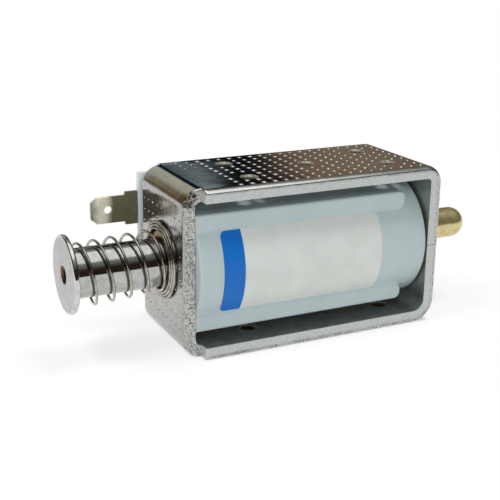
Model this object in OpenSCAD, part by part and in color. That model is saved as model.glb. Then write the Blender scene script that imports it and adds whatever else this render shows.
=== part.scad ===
// Push-pull solenoid with an open box frame, a sprung plunger and a push rod.
// The plunger runs along +X. The origin lies on the lower mounting face, at the
// middle of the four tapped holes; +Z points up and -Y is the side that carries the label.

/* [Frame] */
// Length over both end plates
frame_l = 64; // [60:0.5:80]
// Height over both long plates
frame_h = 38.2; // [37:0.2:46]
// Depth of the long plates and of the rear end plate
frame_d = 29; // [28:0.5:34]
// Thickness of the steel strip
strip_t = 2.9; // [2.5:0.1:3.2]
// Width taken off each edge of the strip at the plunger end
step_inset = 2.3; // [1:0.1:3]
// Outer bend radius at the plunger end
bend_r_entry = 4.4; // [4:0.1:5]
// Outer bend radius at the upper rear corner
bend_r_top = 3.8; // [3.5:0.1:5]
// Outer bend radius at the lower rear corner
bend_r_bottom = 5.6; // [4:0.1:6]
// Rounding that the blanking die leaves on the outer edges
die_roll = 0.6; // [0.2:0.1:1]
// Width of the butt seam where the strip's ends meet
seam_gap = 0.12; // [0.1:0.02:0.4]

/* [Mounting holes] */
// Spacing of the tapped holes along the plunger
hole_pitch_x = 35.6; // [30:0.2:38]
// Spacing of the tapped holes across the frame
hole_pitch_y = 13.5; // [10:0.5:16]
// Distance from the plunger end's outer face to the middle of the holes
hole_setback = 35.8; // [34:0.2:37]
// Core diameter of the thread
tap_d = 3.3; // [2.5:0.1:4.2]
// Depth of the chamfer at each mouth of a tapped hole
tap_chamfer = 0.45; // [0.2:0.05:0.5]

/* [Coil] */
// Least gap between the coil cover and the long plates
cover_gap = 1.4; // [1:0.1:2.5]
// Most by which the round cover stands proud of the frame's open sides
cover_proud = 0.3; // [0:0.1:0.5]
// Wall of the coil cover
cover_wall = 1.2; // [0.8:0.1:1.6]
// Chamfer round both ends of the cover
cover_edge = 0.4; // [0.2:0.1:0.6]
// End gap that lets the coil slide into the frame
coil_end_gap = 0.1; // [0.05:0.05:0.4]
// Thickness of the fibre washer behind the coil
washer_t = 0.5; // [0.3:0.1:0.8]
// Height of a cover rib
rib_h = 3.85; // [3:0.05:5]
// Distance from the top of the cover to the top of a rib
rib_drop = 1.6; // [1.2:0.1:2.4]
// Distance from the front of the cover back to the face of a rib
rib_setback = 2.8; // [2.2:0.1:3.6]
// Length by which a rib stops short of the cover's rear end
rib_short = 4.5; // [3:0.1:9]
// Rounding of a rib's rear corners
rib_end = 1.6; // [0.6:0.1:1.8]
// Rounding along the long edges of a rib
rib_round = 0.5; // [0.2:0.1:1]
// Thickness of a bobbin flange
flange_t = 1.5; // [1:0.1:2]
// Wall of the bobbin tube
bobbin_wall = 1.1; // [0.8:0.1:1.6]
// Thickness of the tape round the winding
tape_t = 0.3; // [0.2:0.05:0.5]
// Depth by which the tape lies below the rim of the bobbin flanges
winding_drop = 0.6; // [0.3:0.1:2]

/* [Label] */
// Length of the label
label_l = 39.7; // [30:0.1:44]
// Distance from the cover's front end to the label
label_start = 5.5; // [3:0.1:8]
// Thickness of the label
label_t = 0.1; // [0.08:0.01:0.2]
// Corner radius of the label
label_corner = 1.4; // [0.5:0.1:3]
// Gap between the label and the ribs beside it
label_margin = 0.15; // [0.1:0.05:1]

/* [Plunger] */
// Diameter of the plunger
plunger_d = 11; // [10:0.1:12]
// Distance from the end plate to the outer face of the disc, at rest
plunger_reach = 22.4; // [21:0.1:26]
// Full travel of the plunger
stroke = 15; // [10:0.5:15]
// Diameter of the disc that holds the spring
disc_d = 17.4; // [16.8:0.1:20]
// Thickness of the disc
disc_t = 1.2; // [1:0.1:2]
// Rounding of the disc's rim
disc_round = 0.35; // [0.1:0.05:0.45]
// Diameter of the plunger's spigot in the disc
spigot_d = 5.8; // [5.2:0.1:7]
// Depth of the tapped hole in the plunger's end
plunger_tap_l = 8; // [6:0.5:12]
// Length of the plunger's conical nose
nose_l = 5; // [3:0.5:7]
// Diameter of the flat at the tip of the nose
nose_tip_d = 6; // [5:0.1:7]
// Width of the shoulder round the nose
nose_step = 0.65; // [0.3:0.05:0.8]

/* [Guide tube and pole piece] */
// Radial running clearance between plunger and guide tube
run_gap = 0.08; // [0.05:0.01:0.1]
// Wall of the brass guide tube
tube_wall = 0.4; // [0.3:0.05:0.6]
// Width of the guide tube's rolled lip
tube_lip_w = 1; // [0.6:0.1:1.4]
// Thickness of the rolled lip
tube_lip_t = 0.5; // [0.4:0.05:0.6]
// Length of the pole piece inside the frame
pole_l = 22; // [16:0.5:26]
// Diameter of the pole piece's staked spigot
pole_spigot_d = 9.4; // [8:0.1:10]
// Gap between the nose and its seat when the plunger is home
pole_residual = 0.3; // [0.2:0.05:0.5]
// Play between the nose and the stop washer in that gap
stop_play = 0.05; // [0.02:0.01:0.1]
// Play of the seat and the stop washer round the nose and the rod
seat_play = 0.2; // [0.1:0.05:0.4]

/* [Push rod] */
// Diameter of the push rod
rod_d = 4; // [3:0.1:4.4]
// Length of rod held in the plunger
rod_hold = 6; // [4:0.5:8]
// Length of rod held in the brass tip
tip_hold = 8; // [6:0.5:10]
// Diameter of the brass tip
tip_d = 7.6; // [6:0.1:8]
// Distance from the rear plate to the end of the brass tip, at rest
tip_reach = 17.6; // [14:0.2:20]
// Gap between the brass tip and the pole piece, at rest
tip_gap = 0.2; // [0.1:0.05:0.4]

/* [Return spring] */
// Wire diameter
wire_d = 0.62; // [0.5:0.02:0.8]
// Mean radius of the open coils
coil_r = 6.8; // [6.7:0.05:7.2]
// Mean radius of the last coil, on the end plate
seat_r = 9; // [8.6:0.1:10]
// Open turns along the plunger
open_turns = 4.95; // [4:0.05:6]
// Nested turns that widen into a flat spiral on the end plate
nest_turns = 3; // [2:1:3]
// Depth of the nested turns along the plunger
nest_l = 1.4; // [1:0.05:2]
// Height by which the spring leans from one end to the other
spring_lean = 1.2; // [0:0.1:1.2]
// Place of the wire's end on the disc, in degrees from the front over the top
spring_start = 307; // [0:1:360]

/* [Terminals] */
// Width of a terminal blade
blade_w = 6.2; // [4.8:0.1:6.3]
// Thickness of a terminal blade
blade_t = 0.8; // [0.5:0.1:0.8]
// Length of a blade beyond its shoulders
blade_l = 8.2; // [7:0.1:9]
// Width over the shoulders
shoulder_w = 7.8; // [7:0.1:8.4]
// Length from the block to the shoulders
shoulder_l = 3.1; // [2:0.1:4]
// Diameter of the hole in a blade
blade_hole_d = 1.9; // [1.4:0.1:2.2]
// Length of the bevels at the tip of a blade
blade_bevel = 1.4; // [0.8:0.1:1.8]
// Width of those bevels
blade_bevel_w = 1.2; // [0.6:0.1:1.6]
// Width of a blade's tail
tail_w = 4; // [3:0.1:5]
// Length of a blade's tail in the block
tail_l = 7; // [5:0.5:9]
// Distance between the two blades
blade_pitch = 12.2; // [11:0.1:14]
// Height of the upper blade above the plunger's axis
blade_rise = 8.7; // [7:0.1:9]
// Thickness of the terminal block
block_t = 1.9; // [1.8:0.1:3]
// Length of the terminal block along the frame
block_l = 16; // [14:0.5:20]
// Height of the terminal block
block_h = 28.5; // [26:0.5:30]
// Height of the block's upper end above the plunger's axis
block_rise = 17; // [16:0.1:18]
// Bevel round the block's outer face
block_bevel = 0.5; // [0.2:0.1:0.8]
// Length of the feet that reach in to the cover's rear ribs
foot_l = 8; // [5:0.5:10]
// Diameter of the bare lead wire
lead_d = 0.6; // [0.4:0.05:0.8]

/* [Hidden] */
$fn = 96;

// A fit that is assembled once and never moves
fit_gap = 0.03;
// How far a cutting tool reaches past what it cuts
cut = 1;
// Broken edge on turned parts
edge = 0.4;

x_entry = -hole_setback;
x_pole = x_entry + frame_l;
z_axis = frame_h / 2;
side_y = frame_d / 2;

cover_r = min(z_axis - strip_t - cover_gap, side_y + cover_proud);
cover_x0 = x_entry + strip_t + coil_end_gap;
washer_x1 = x_pole - strip_t - coil_end_gap;
cover_x1 = washer_x1 - washer_t;
cover_l = cover_x1 - cover_x0;
cover_bore_r = cover_r - cover_wall;
rib_top = cover_r - rib_drop;
rib_foot = rib_top - rib_h;
rib_face = cover_r - rib_setback;
// How close to the axis a rib starts, inside the cup's wall
rib_root = cover_bore_r / 2;
rib_end_r = min(rib_end, 0.45 * rib_h);

tube_r = plunger_d / 2 + run_gap;
tube_out_r = tube_r + tube_wall;
bobbin_x0 = cover_x0 + cover_wall + fit_gap;
bobbin_x1 = cover_x1;
bobbin_bore_r = tube_out_r + fit_gap;
bobbin_tube_r = bobbin_bore_r + bobbin_wall;
flange_r = cover_bore_r - fit_gap;
winding_r = flange_r - tape_t - winding_drop;

spigot_l = disc_t;
disc_x0 = x_entry - plunger_reach;
disc_x1 = disc_x0 + disc_t;
pole_face_x = x_pole - strip_t - pole_l;
seat_x = pole_face_x + nose_l;
nose_x = seat_x - pole_residual - stroke;
pole_r = tube_r - fit_gap;
pole_bore_r = rod_d / 2 + run_gap;
tip_x0 = x_pole + tip_gap;
tip_x1 = x_pole + tip_reach;

block_x0 = x_entry;
block_y0 = side_y + fit_gap;
block_z1 = z_axis + block_rise;
block_z0 = block_z1 - block_h;
upper_blade_z = z_axis + blade_rise;
lower_blade_z = upper_blade_z - blade_pitch;
blade_y = block_y0 + block_t / 2;
// Distance from the end of a blade's tail to the middle of its lead
lead_inset = 0.9;
// Play of the leads in the holes that they pass through
lead_play = 0.3;
lead_x = block_x0 + tail_l - lead_inset;

// Turns what is built along +Z so that it lies on the plunger's axis, from x towards +X.
module on_axis(x) {
    translate([x, 0, z_axis]) rotate([0, 90, 0]) children();
}

// A ring on the plunger's axis.
module ring(x0, x1, r_out, r_in) {
    on_axis(x0) difference() {
        cylinder(r = r_out, h = x1 - x0);
        translate([0, 0, -cut]) cylinder(r = r_in, h = x1 - x0 + 2 * cut);
    }
}

// Cross-section of the strip: thickness along x with its outer face at strip_t, width along y.
module strip_section(width) {
    translate([0, -width / 2]) square([strip_t - die_roll, width]);
    translate([0, die_roll - width / 2]) square([strip_t, width - 2 * die_roll]);
    for (side = [-1, 1])
        translate([strip_t - die_roll, side * (width / 2 - die_roll)]) circle(r = die_roll);
}

// A straight run of strip. Its inner face starts at (x, z); facing is the side its outer face is on.
module strip_run(x, z, facing, length, width) {
    translate([x, 0, z]) rotate([90, 0, 0]) rotate([0, 0, facing]) rotate([-90, 0, 0])
        linear_extrude(height = length) strip_section(width);
}

// A right-angled bend of strip round the centre (x, z).
module strip_bend(x, z, facing, outer_r, width) {
    translate([x, 0, z]) rotate([90, 0, 0]) rotate([0, 0, facing])
        rotate_extrude(angle = 90) translate([outer_r - strip_t, 0]) strip_section(width);
}

// One strip bent into a closed box, narrower at the plunger end, its ends meeting in the rear plate.
module bent_strip() {
    narrow = frame_d - 2 * step_inset;
    shoulder_x = x_entry + bend_r_entry;
    plate_z = frame_h - strip_t;
    strip_run(x_entry + strip_t, frame_h - bend_r_entry, 180, frame_h - 2 * bend_r_entry, narrow);
    strip_bend(shoulder_x, frame_h - bend_r_entry, 90, bend_r_entry, narrow);
    strip_bend(shoulder_x, bend_r_entry, 180, bend_r_entry, narrow);
    strip_run(x_pole - bend_r_top, plate_z, 90, frame_l - bend_r_entry - bend_r_top, frame_d);
    strip_run(shoulder_x, strip_t, 270, frame_l - bend_r_entry - bend_r_bottom, frame_d);
    strip_bend(x_pole - bend_r_top, frame_h - bend_r_top, 0, bend_r_top, frame_d);
    strip_bend(x_pole - bend_r_bottom, bend_r_bottom, 270, bend_r_bottom, frame_d);
    strip_run(x_pole - strip_t, bend_r_bottom, 0, frame_h - bend_r_bottom - bend_r_top, frame_d);
}

// A through thread core with a chamfer at each mouth, cut in a plate whose lower face is at z.
module tapped_hole(x, y, z) {
    mouth_r = tap_d / 2 + tap_chamfer;
    translate([x, y, z - cut]) cylinder(d = tap_d, h = strip_t + 2 * cut);
    translate([x, y, z]) cylinder(r1 = mouth_r, r2 = tap_d / 2, h = tap_chamfer);
    translate([x, y, z + strip_t - tap_chamfer]) cylinder(r1 = tap_d / 2, r2 = mouth_r, h = tap_chamfer);
    for (end = [z - cut, z + strip_t]) translate([x, y, end]) cylinder(r = mouth_r, h = cut);
}

module frame() {
    color("#c9cccb") difference() {
        bent_strip();
        on_axis(x_entry - cut) cylinder(r = tube_out_r + fit_gap, h = strip_t + 2 * cut);
        on_axis(x_pole - strip_t - cut) cylinder(d = pole_spigot_d + 2 * fit_gap, h = strip_t + 2 * cut);
        translate([x_pole - strip_t - cut, -side_y - cut, z_axis - seam_gap / 2])
            cube([strip_t + 2 * cut, frame_d + 2 * cut, seam_gap]);
        for (plate_z = [0, frame_h - strip_t], sx = [-1, 1], sy = [-1, 1])
            tapped_hole(sx * hole_pitch_x / 2, sy * hole_pitch_y / 2, plate_z);
        tapped_hole(0, 0, frame_h - strip_t);
    }
}

// A rib in the corner between the round cover and the box frame, with a rounded rear end.
module cover_rib(side, level) {
    rib_l = cover_l - rib_short;
    intersection() {
        translate([cover_x0, 0, z_axis]) rotate([90, 0, 90]) linear_extrude(height = rib_l)
            mirror([side < 0 ? 1 : 0, 0]) mirror([0, level < 0 ? 1 : 0]) {
                translate([rib_root, rib_foot]) square([rib_face - rib_round - rib_root, rib_h]);
                translate([rib_root, rib_foot]) square([rib_face - rib_root, rib_h - rib_round]);
                translate([rib_face - rib_round, rib_top - rib_round]) circle(r = rib_round);
            }
        translate([cover_x0, rib_face + cut, z_axis + min(level * rib_foot, level * rib_top)])
            rotate([90, 0, 0]) linear_extrude(height = 2 * (rib_face + cut)) {
                square([rib_l - rib_end_r, rib_h]);
                translate([0, rib_end_r]) square([rib_l, rib_h - 2 * rib_end_r]);
                for (end = [rib_end_r, rib_h - rib_end_r])
                    translate([rib_l - rib_end_r, end]) circle(r = rib_end_r);
            }
    }
}

// Holes for the two coil leads, through whatever lies between the winding and the blades.
module lead_holes(extra) {
    for (z = [upper_blade_z, lower_blade_z])
        translate([lead_x, 0, z]) rotate([-90, 0, 0]) cylinder(d = lead_d + extra, h = blade_y);
}

module coil_cover() {
    color("#a9bbc1") difference() {
        union() {
            on_axis(cover_x0) rotate_extrude() polygon([
                [0, 0], [cover_r - cover_edge, 0], [cover_r, cover_edge],
                [cover_r, cover_l - cover_edge], [cover_r - cover_edge, cover_l], [0, cover_l]
            ]);
            for (side = [-1, 1], level = [-1, 1]) cover_rib(side, level);
        }
        on_axis(cover_x0 + cover_wall) cylinder(r = cover_bore_r, h = cover_l);
        on_axis(cover_x0 - cut) cylinder(r = tube_out_r + fit_gap, h = cover_wall + 2 * cut);
        lead_holes(lead_play);
    }
}

module cover_label() {
    half = rib_foot - label_margin;
    color("#c9cac4") intersection() {
        ring(cover_x0, cover_x1, cover_r + fit_gap + label_t, cover_r + fit_gap);
        translate([cover_x0 + label_start + label_corner, -cut, z_axis]) rotate([90, 0, 0])
            linear_extrude(height = cover_r + cut) {
                translate([-label_corner, label_corner - half])
                    square([label_l, 2 * (half - label_corner)]);
                translate([0, -half]) square([label_l - 2 * label_corner, 2 * half]);
                for (x = [0, label_l - 2 * label_corner], y = [-1, 1])
                    translate([x, y * (half - label_corner)]) circle(r = label_corner);
            }
    }
}

module bobbin() {
    color("#e7e4d8") {
        ring(bobbin_x0, bobbin_x1, bobbin_tube_r, bobbin_bore_r);
        ring(bobbin_x0, bobbin_x0 + flange_t, flange_r, bobbin_bore_r);
        ring(bobbin_x1 - flange_t, bobbin_x1, flange_r, bobbin_bore_r);
    }
}

module coil_winding() {
    color("#b5622d") ring(
        bobbin_x0 + flange_t + fit_gap, bobbin_x1 - flange_t - fit_gap,
        winding_r, bobbin_tube_r + fit_gap
    );
}

module winding_tape() {
    color("#d8b24a") difference() {
        ring(
            bobbin_x0 + flange_t + fit_gap, bobbin_x1 - flange_t - fit_gap,
            winding_r + fit_gap + tape_t, winding_r + fit_gap
        );
        lead_holes(lead_play);
    }
}

// Closes the coil's open end against the rear plate.
module fibre_washer() {
    color("#6d4a33") ring(cover_x1 + fit_gap, washer_x1, cover_r - edge, bobbin_bore_r);
}

module guide_tube() {
    color("#a8923f") {
        ring(x_entry - tube_lip_t, x_pole - strip_t - fit_gap, tube_out_r, tube_r);
        ring(x_entry - tube_lip_t, x_entry - fit_gap, tube_out_r + tube_lip_w, tube_r);
    }
}

// Fixed core: a conical seat for the plunger's nose, a bore for the rod and a spigot in the rear plate.
module pole_piece() {
    body_l = x_pole - strip_t - fit_gap - pole_face_x;
    full_l = x_pole - pole_face_x;
    spigot_r = pole_spigot_d / 2;
    color("#8d9092") on_axis(pole_face_x) rotate_extrude() polygon([
        [nose_tip_d / 2 + seat_play, nose_l], [pole_r - edge, 0], [pole_r, edge], [pole_r, body_l],
        [spigot_r, body_l], [spigot_r, full_l - edge], [spigot_r - edge, full_l],
        [pole_bore_r, full_l], [pole_bore_r, nose_l]
    ]);
}

// Thin non-magnetic stop at the bottom of the conical seat, round the rod.
module stop_washer() {
    color("#b99a45")
        ring(seat_x - pole_residual + stop_play, seat_x - fit_gap, nose_tip_d / 2, rod_d / 2 + seat_play);
}

// The nose tapers so that it seats in the pole piece with an even gap. The drill leaves a conical bottom.
module plunger() {
    r = plunger_d / 2;
    l = nose_x - disc_x0;
    spigot_r = spigot_d / 2 - fit_gap;
    socket_r = rod_d / 2 + fit_gap;
    color("#cfcfcc") on_axis(disc_x0) rotate_extrude() polygon([
        [tap_d / 2 + tap_chamfer, 0], [spigot_r, 0], [spigot_r, spigot_l],
        [r - edge, spigot_l], [r, spigot_l + edge], [r, l - nose_l], [r - nose_step, l - nose_l],
        [nose_tip_d / 2 - seat_play / 2, l], [socket_r, l], [socket_r, l - rod_hold], [0, l - rod_hold],
        [0, plunger_tap_l + tap_d / 4], [tap_d / 2, plunger_tap_l], [tap_d / 2, tap_chamfer]
    ]);
}

module plunger_disc() {
    r = disc_d / 2;
    color("#b9bcbd") on_axis(disc_x0) rotate_extrude() difference() {
        union() {
            square([r - disc_round, disc_t]);
            translate([0, disc_round]) square([r, disc_t - 2 * disc_round]);
            for (y = [disc_round, disc_t - disc_round])
                translate([r - disc_round, y]) circle(r = disc_round);
        }
        translate([0, -cut]) square([spigot_d / 2, disc_t + 2 * cut]);
    }
}

module push_rod() {
    color("#c8b273")
        on_axis(nose_x - rod_hold) cylinder(d = rod_d, h = tip_x0 + tip_hold - fit_gap - nose_x + rod_hold);
}

// Bullet-shaped end that bears on the load and stops the plunger at rest.
module push_tip() {
    r = tip_d / 2;
    l = tip_x1 - tip_x0;
    color("#b8a04e") on_axis(tip_x0) difference() {
        rotate_extrude() {
            polygon([[0, 0], [r - edge, 0], [r, edge], [r, l - r], [0, l - r]]);
            intersection() {
                translate([0, l - r]) circle(r = r);
                translate([0, l - r]) square([r, r]);
            }
        }
        translate([0, 0, -cut]) cylinder(d = rod_d + 2 * fit_gap, h = tip_hold + cut);
    }
}

// How the nested coils widen: 1 is even, and less than 1 widens them early
nest_growth = 0.8;

// Centre line of the spring at turn t: open coils from the disc, then nested coils that widen to the end
// plate. The coils stand square to the leaning centre line, apart from both ends, which lie flat.
seat_gap = wire_d / 2 + fit_gap;
spring_x0 = disc_x1 + seat_gap;
spring_x2 = x_entry - seat_gap;
spring_x1 = spring_x2 - nest_l;
lean_slope = spring_lean / (spring_x2 - spring_x0);
function nest_share(t) = max(0, t - open_turns) / nest_turns;
function spring_x(t) = t < open_turns
    ? spring_x0 + (spring_x1 - spring_x0) * t / open_turns
    : spring_x1 + (spring_x2 - spring_x1) * nest_share(t);
function spring_r(t) = coil_r + (seat_r - coil_r) * pow(nest_share(t), nest_growth);
function spring_z(t) = z_axis + lean_slope * (spring_x(t) - (spring_x0 + spring_x2) / 2);
function spring_tilt(t) = lean_slope * min(1, t) * (1 - min(1, max(0, t - open_turns + 1)));
function spring_angle(t) = spring_start - 360 * t;
function spring_ring(t, sides) = [
    for (k = [0 : sides - 1])
        let (
            a = 360 * k / sides,
            r = spring_r(t) + wire_d / 2 * cos(a),
            rise = r * sin(spring_angle(t))
        )
        [
            spring_x(t) + wire_d / 2 * sin(a) - spring_tilt(t) * rise,
            -r * cos(spring_angle(t)),
            spring_z(t) + rise
        ]
];

module return_spring() {
    sides = 8;
    turns = open_turns + nest_turns;
    rings = round(turns * 24);
    points = [for (i = [0 : rings]) each spring_ring(turns * i / rings, sides)];
    skin = [
        for (i = [0 : rings - 1], k = [0 : sides - 1])
            let (a = i * sides, b = a + sides, n = (k + 1) % sides)
            each [[a + k, a + n, b + n], [a + k, b + n, b + k]]
    ];
    first_end = [[for (k = [sides - 1 : -1 : 0]) k]];
    last_end = [[for (k = [0 : sides - 1]) rings * sides + k]];
    color("#8b857a") polyhedron(points = points, faces = concat(skin, first_end, last_end));
}

// Section of the block along its length or its height, bevelled on the outer face only.
module block_profile(size) {
    polygon([
        [0, 0], [size, 0], [size, block_t - block_bevel], [size - block_bevel, block_t],
        [block_bevel, block_t], [0, block_t - block_bevel]
    ]);
}

// A slot through the block that grips the tail of a blade.
module tail_slot(z) {
    translate([block_x0 - cut, blade_y - blade_t / 2 - fit_gap, z - tail_w / 2 - fit_gap])
        cube([tail_l + fit_gap + cut, blade_t + 2 * fit_gap, tail_w + 2 * fit_gap]);
}

// Moulded carrier on the back of the frame. Two feet reach in to the cover's rear ribs.
module terminal_block() {
    foot_x = x_entry + bend_r_entry + edge;
    foot_h = rib_h - rib_round;
    color("#e4e9ea") difference() {
        union() {
            intersection() {
                translate([block_x0, block_y0, block_z0])
                    linear_extrude(height = block_h) block_profile(block_l);
                translate([block_x0, block_y0, block_z1]) rotate([0, 90, 0])
                    linear_extrude(height = block_l) block_profile(block_h);
            }
            for (level = [-1, 1])
                translate([foot_x, rib_face + fit_gap, z_axis + min(level, 0) * foot_h + level * rib_foot])
                    cube([foot_l, block_y0 + block_bevel - rib_face, foot_h]);
        }
        on_axis(cover_x0 - cut) cylinder(r = cover_r + fit_gap, h = block_l + cut);
        for (z = [upper_blade_z, lower_blade_z]) tail_slot(z);
        lead_holes(fit_gap);
    }
}

// Flat push-on blade with bevelled corners, a locating hole, shoulders and a tail held in the block.
module blade(z) {
    reach = shoulder_l + blade_l;
    half = [
        [-reach, blade_w / 2 - blade_bevel_w], [blade_bevel - reach, blade_w / 2],
        [-shoulder_l, blade_w / 2], [-shoulder_l, shoulder_w / 2], [-fit_gap, shoulder_w / 2],
        [-fit_gap, tail_w / 2], [tail_l, tail_w / 2]
    ];
    translate([block_x0, blade_y + blade_t / 2, z]) rotate([90, 0, 0])
        linear_extrude(height = blade_t) difference() {
            polygon(concat(half, [for (k = [len(half) - 1 : -1 : 0]) [half[k][0], -half[k][1]]]));
            translate([-shoulder_l - blade_l / 2, 0]) circle(d = blade_hole_d);
        }
}

module upper_terminal() {
    color("#9a8f6b") blade(upper_blade_z);
}

module lower_terminal() {
    color("#9a8f6b") blade(lower_blade_z);
}

// The coil's two ends, from the winding to the tails of the blades.
module lead_wires() {
    color("#b5622d") for (z = [upper_blade_z, lower_blade_z]) {
        start_y = sqrt(pow(winding_r + fit_gap, 2) - pow(abs(z - z_axis) - lead_d / 2, 2));
        translate([lead_x, start_y, z]) rotate([-90, 0, 0])
            cylinder(d = lead_d, h = blade_y - blade_t / 2 - fit_gap - start_y, $fn = 24);
    }
}

frame();
coil_cover();
cover_label();
bobbin();
coil_winding();
winding_tape();
fibre_washer();
guide_tube();
pole_piece();
stop_washer();
plunger();
plunger_disc();
push_rod();
push_tip();
return_spring();
terminal_block();
upper_terminal();
lower_terminal();
lead_wires();
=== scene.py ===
"""Looks of a push-pull solenoid: steel box frame, moulded coil cover, sprung plunger and brass push tip.

Lengths are in millimetres in the part's own frame, and become metres where a mesh is made. +X runs along
the plunger towards the push rod, +Z is up, and -Y is the open side that carries the label. Places come from
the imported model's boxes; the sizes given as fields are those of the same pieces in the model.
"""

import logging
import math
from dataclasses import dataclass, field
from enum import Enum
from typing import Callable, Iterable, Optional, Sequence, Union

import bmesh
import bpy
import numpy as np
from mathutils import Matrix, Vector, noise


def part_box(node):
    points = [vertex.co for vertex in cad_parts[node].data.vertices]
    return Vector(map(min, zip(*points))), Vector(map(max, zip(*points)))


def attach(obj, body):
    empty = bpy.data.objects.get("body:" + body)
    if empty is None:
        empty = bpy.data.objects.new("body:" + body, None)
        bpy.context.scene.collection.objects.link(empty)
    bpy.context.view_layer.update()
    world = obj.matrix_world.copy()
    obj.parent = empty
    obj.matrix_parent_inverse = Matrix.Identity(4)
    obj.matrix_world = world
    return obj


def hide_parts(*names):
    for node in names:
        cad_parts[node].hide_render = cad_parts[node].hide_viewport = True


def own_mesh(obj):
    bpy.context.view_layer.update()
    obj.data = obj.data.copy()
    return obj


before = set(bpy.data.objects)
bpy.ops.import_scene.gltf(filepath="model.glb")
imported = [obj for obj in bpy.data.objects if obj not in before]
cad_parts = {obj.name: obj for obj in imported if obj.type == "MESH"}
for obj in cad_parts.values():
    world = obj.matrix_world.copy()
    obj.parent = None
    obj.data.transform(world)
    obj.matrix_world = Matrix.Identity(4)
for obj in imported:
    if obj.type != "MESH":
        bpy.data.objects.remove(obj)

MM = 0.001
# Gap kept between two faces that would otherwise lie in one plane, in millimetres.
SEAT_GAP = 0.03
# Lowest common value of a noise texture, and how far its common values reach up from there.
NOISE_LOW, NOISE_SPAN = 0.38, 0.24
# How far to each side of its threshold a patch fades into the next.
PATCH_FADE = 0.09
# Lengths below this count as none, in millimetres.
TINY = 1e-6
# A corner that turns by less than this is left as it is.
STRAIGHT_RAD = 0.05
# Share of an edge that the rounding at one of its ends may take up.
EDGE_SHARE = 0.45
# Seed of the vector noise, which would else start from the clock.
NOISE_SEED = 7
# Sides of a drilled hole, and of a turned piece.
HOLE_SIDES, TURNED_SIDES = 32, 96
LOG = logging.getLogger("solenoid")

Point2 = tuple[float, float]
Point3 = tuple[float, float, float]
Socket = bpy.types.NodeSocket


class Body(Enum):
    """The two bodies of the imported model."""

    HOUSING = "housing"
    ARMATURE = "armature"


class Facing(Enum):
    """The side of the box frame that an outer face looks to, as a unit vector in the XZ plane."""

    REAR = (1.0, 0.0)
    TOP = (0.0, 1.0)
    ENTRY = (-1.0, 0.0)
    BASE = (0.0, -1.0)


@dataclass(frozen=True)
class Box:
    """A CAD node's box in millimetres.

    Args:
        lo: Lowest corner.
        hi: Highest corner.
    """

    lo: Point3
    hi: Point3

    @classmethod
    def of(cls, node: str) -> "Box":
        """Reads the box of a CAD node."""
        lo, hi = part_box(node)
        return cls(tuple(v / MM for v in lo), tuple(v / MM for v in hi))

    def radius(self) -> float:
        """Half the box's depth, which is the radius of a turned piece."""
        return (self.hi[1] - self.lo[1]) / 2


FRAME_BOX = Box.of("frame")
AXIS_Z = (FRAME_BOX.lo[2] + FRAME_BOX.hi[2]) / 2
X_ENTRY = FRAME_BOX.lo[0]
X_POLE = FRAME_BOX.hi[0]


# ---------------------------------------------------------------------------------------------------------
# Nodes and finishes
# ---------------------------------------------------------------------------------------------------------


def linear(hex_colour: str) -> tuple[float, float, float, float]:
    """Turns an sRGB hex colour into the linear colour that Blender's sockets take.

    Args:
        hex_colour: Six hex digits after a hash.

    Returns:
        Red, green, blue and an alpha of 1.
    """
    parts = [int(hex_colour[i : i + 2], 16) / 255 for i in (1, 3, 5)]
    return (*(c / 12.92 if c <= 0.04045 else ((c + 0.055) / 1.055) ** 2.4 for c in parts), 1.0)


def add_node(
    tree: bpy.types.NodeTree,
    kind: str,
    inputs: Optional[dict[Union[str, int], object]] = None,
    **settings: object,
) -> bpy.types.Node:
    """Adds a node with its settings, and sets or links its inputs.

    Args:
        tree: The node tree that takes the node.
        kind: Blender's name of the node type.
        inputs: A value or a socket to link for each named or numbered input.
        **settings: Properties of the node.

    Returns:
        The new node.
    """
    node = tree.nodes.new(kind)
    for name, value in settings.items():
        setattr(node, name, value)
    for key, value in (inputs or {}).items():
        if isinstance(value, Socket):
            tree.links.new(value, node.inputs[key])
        else:
            node.inputs[key].default_value = value
    return node


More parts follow.
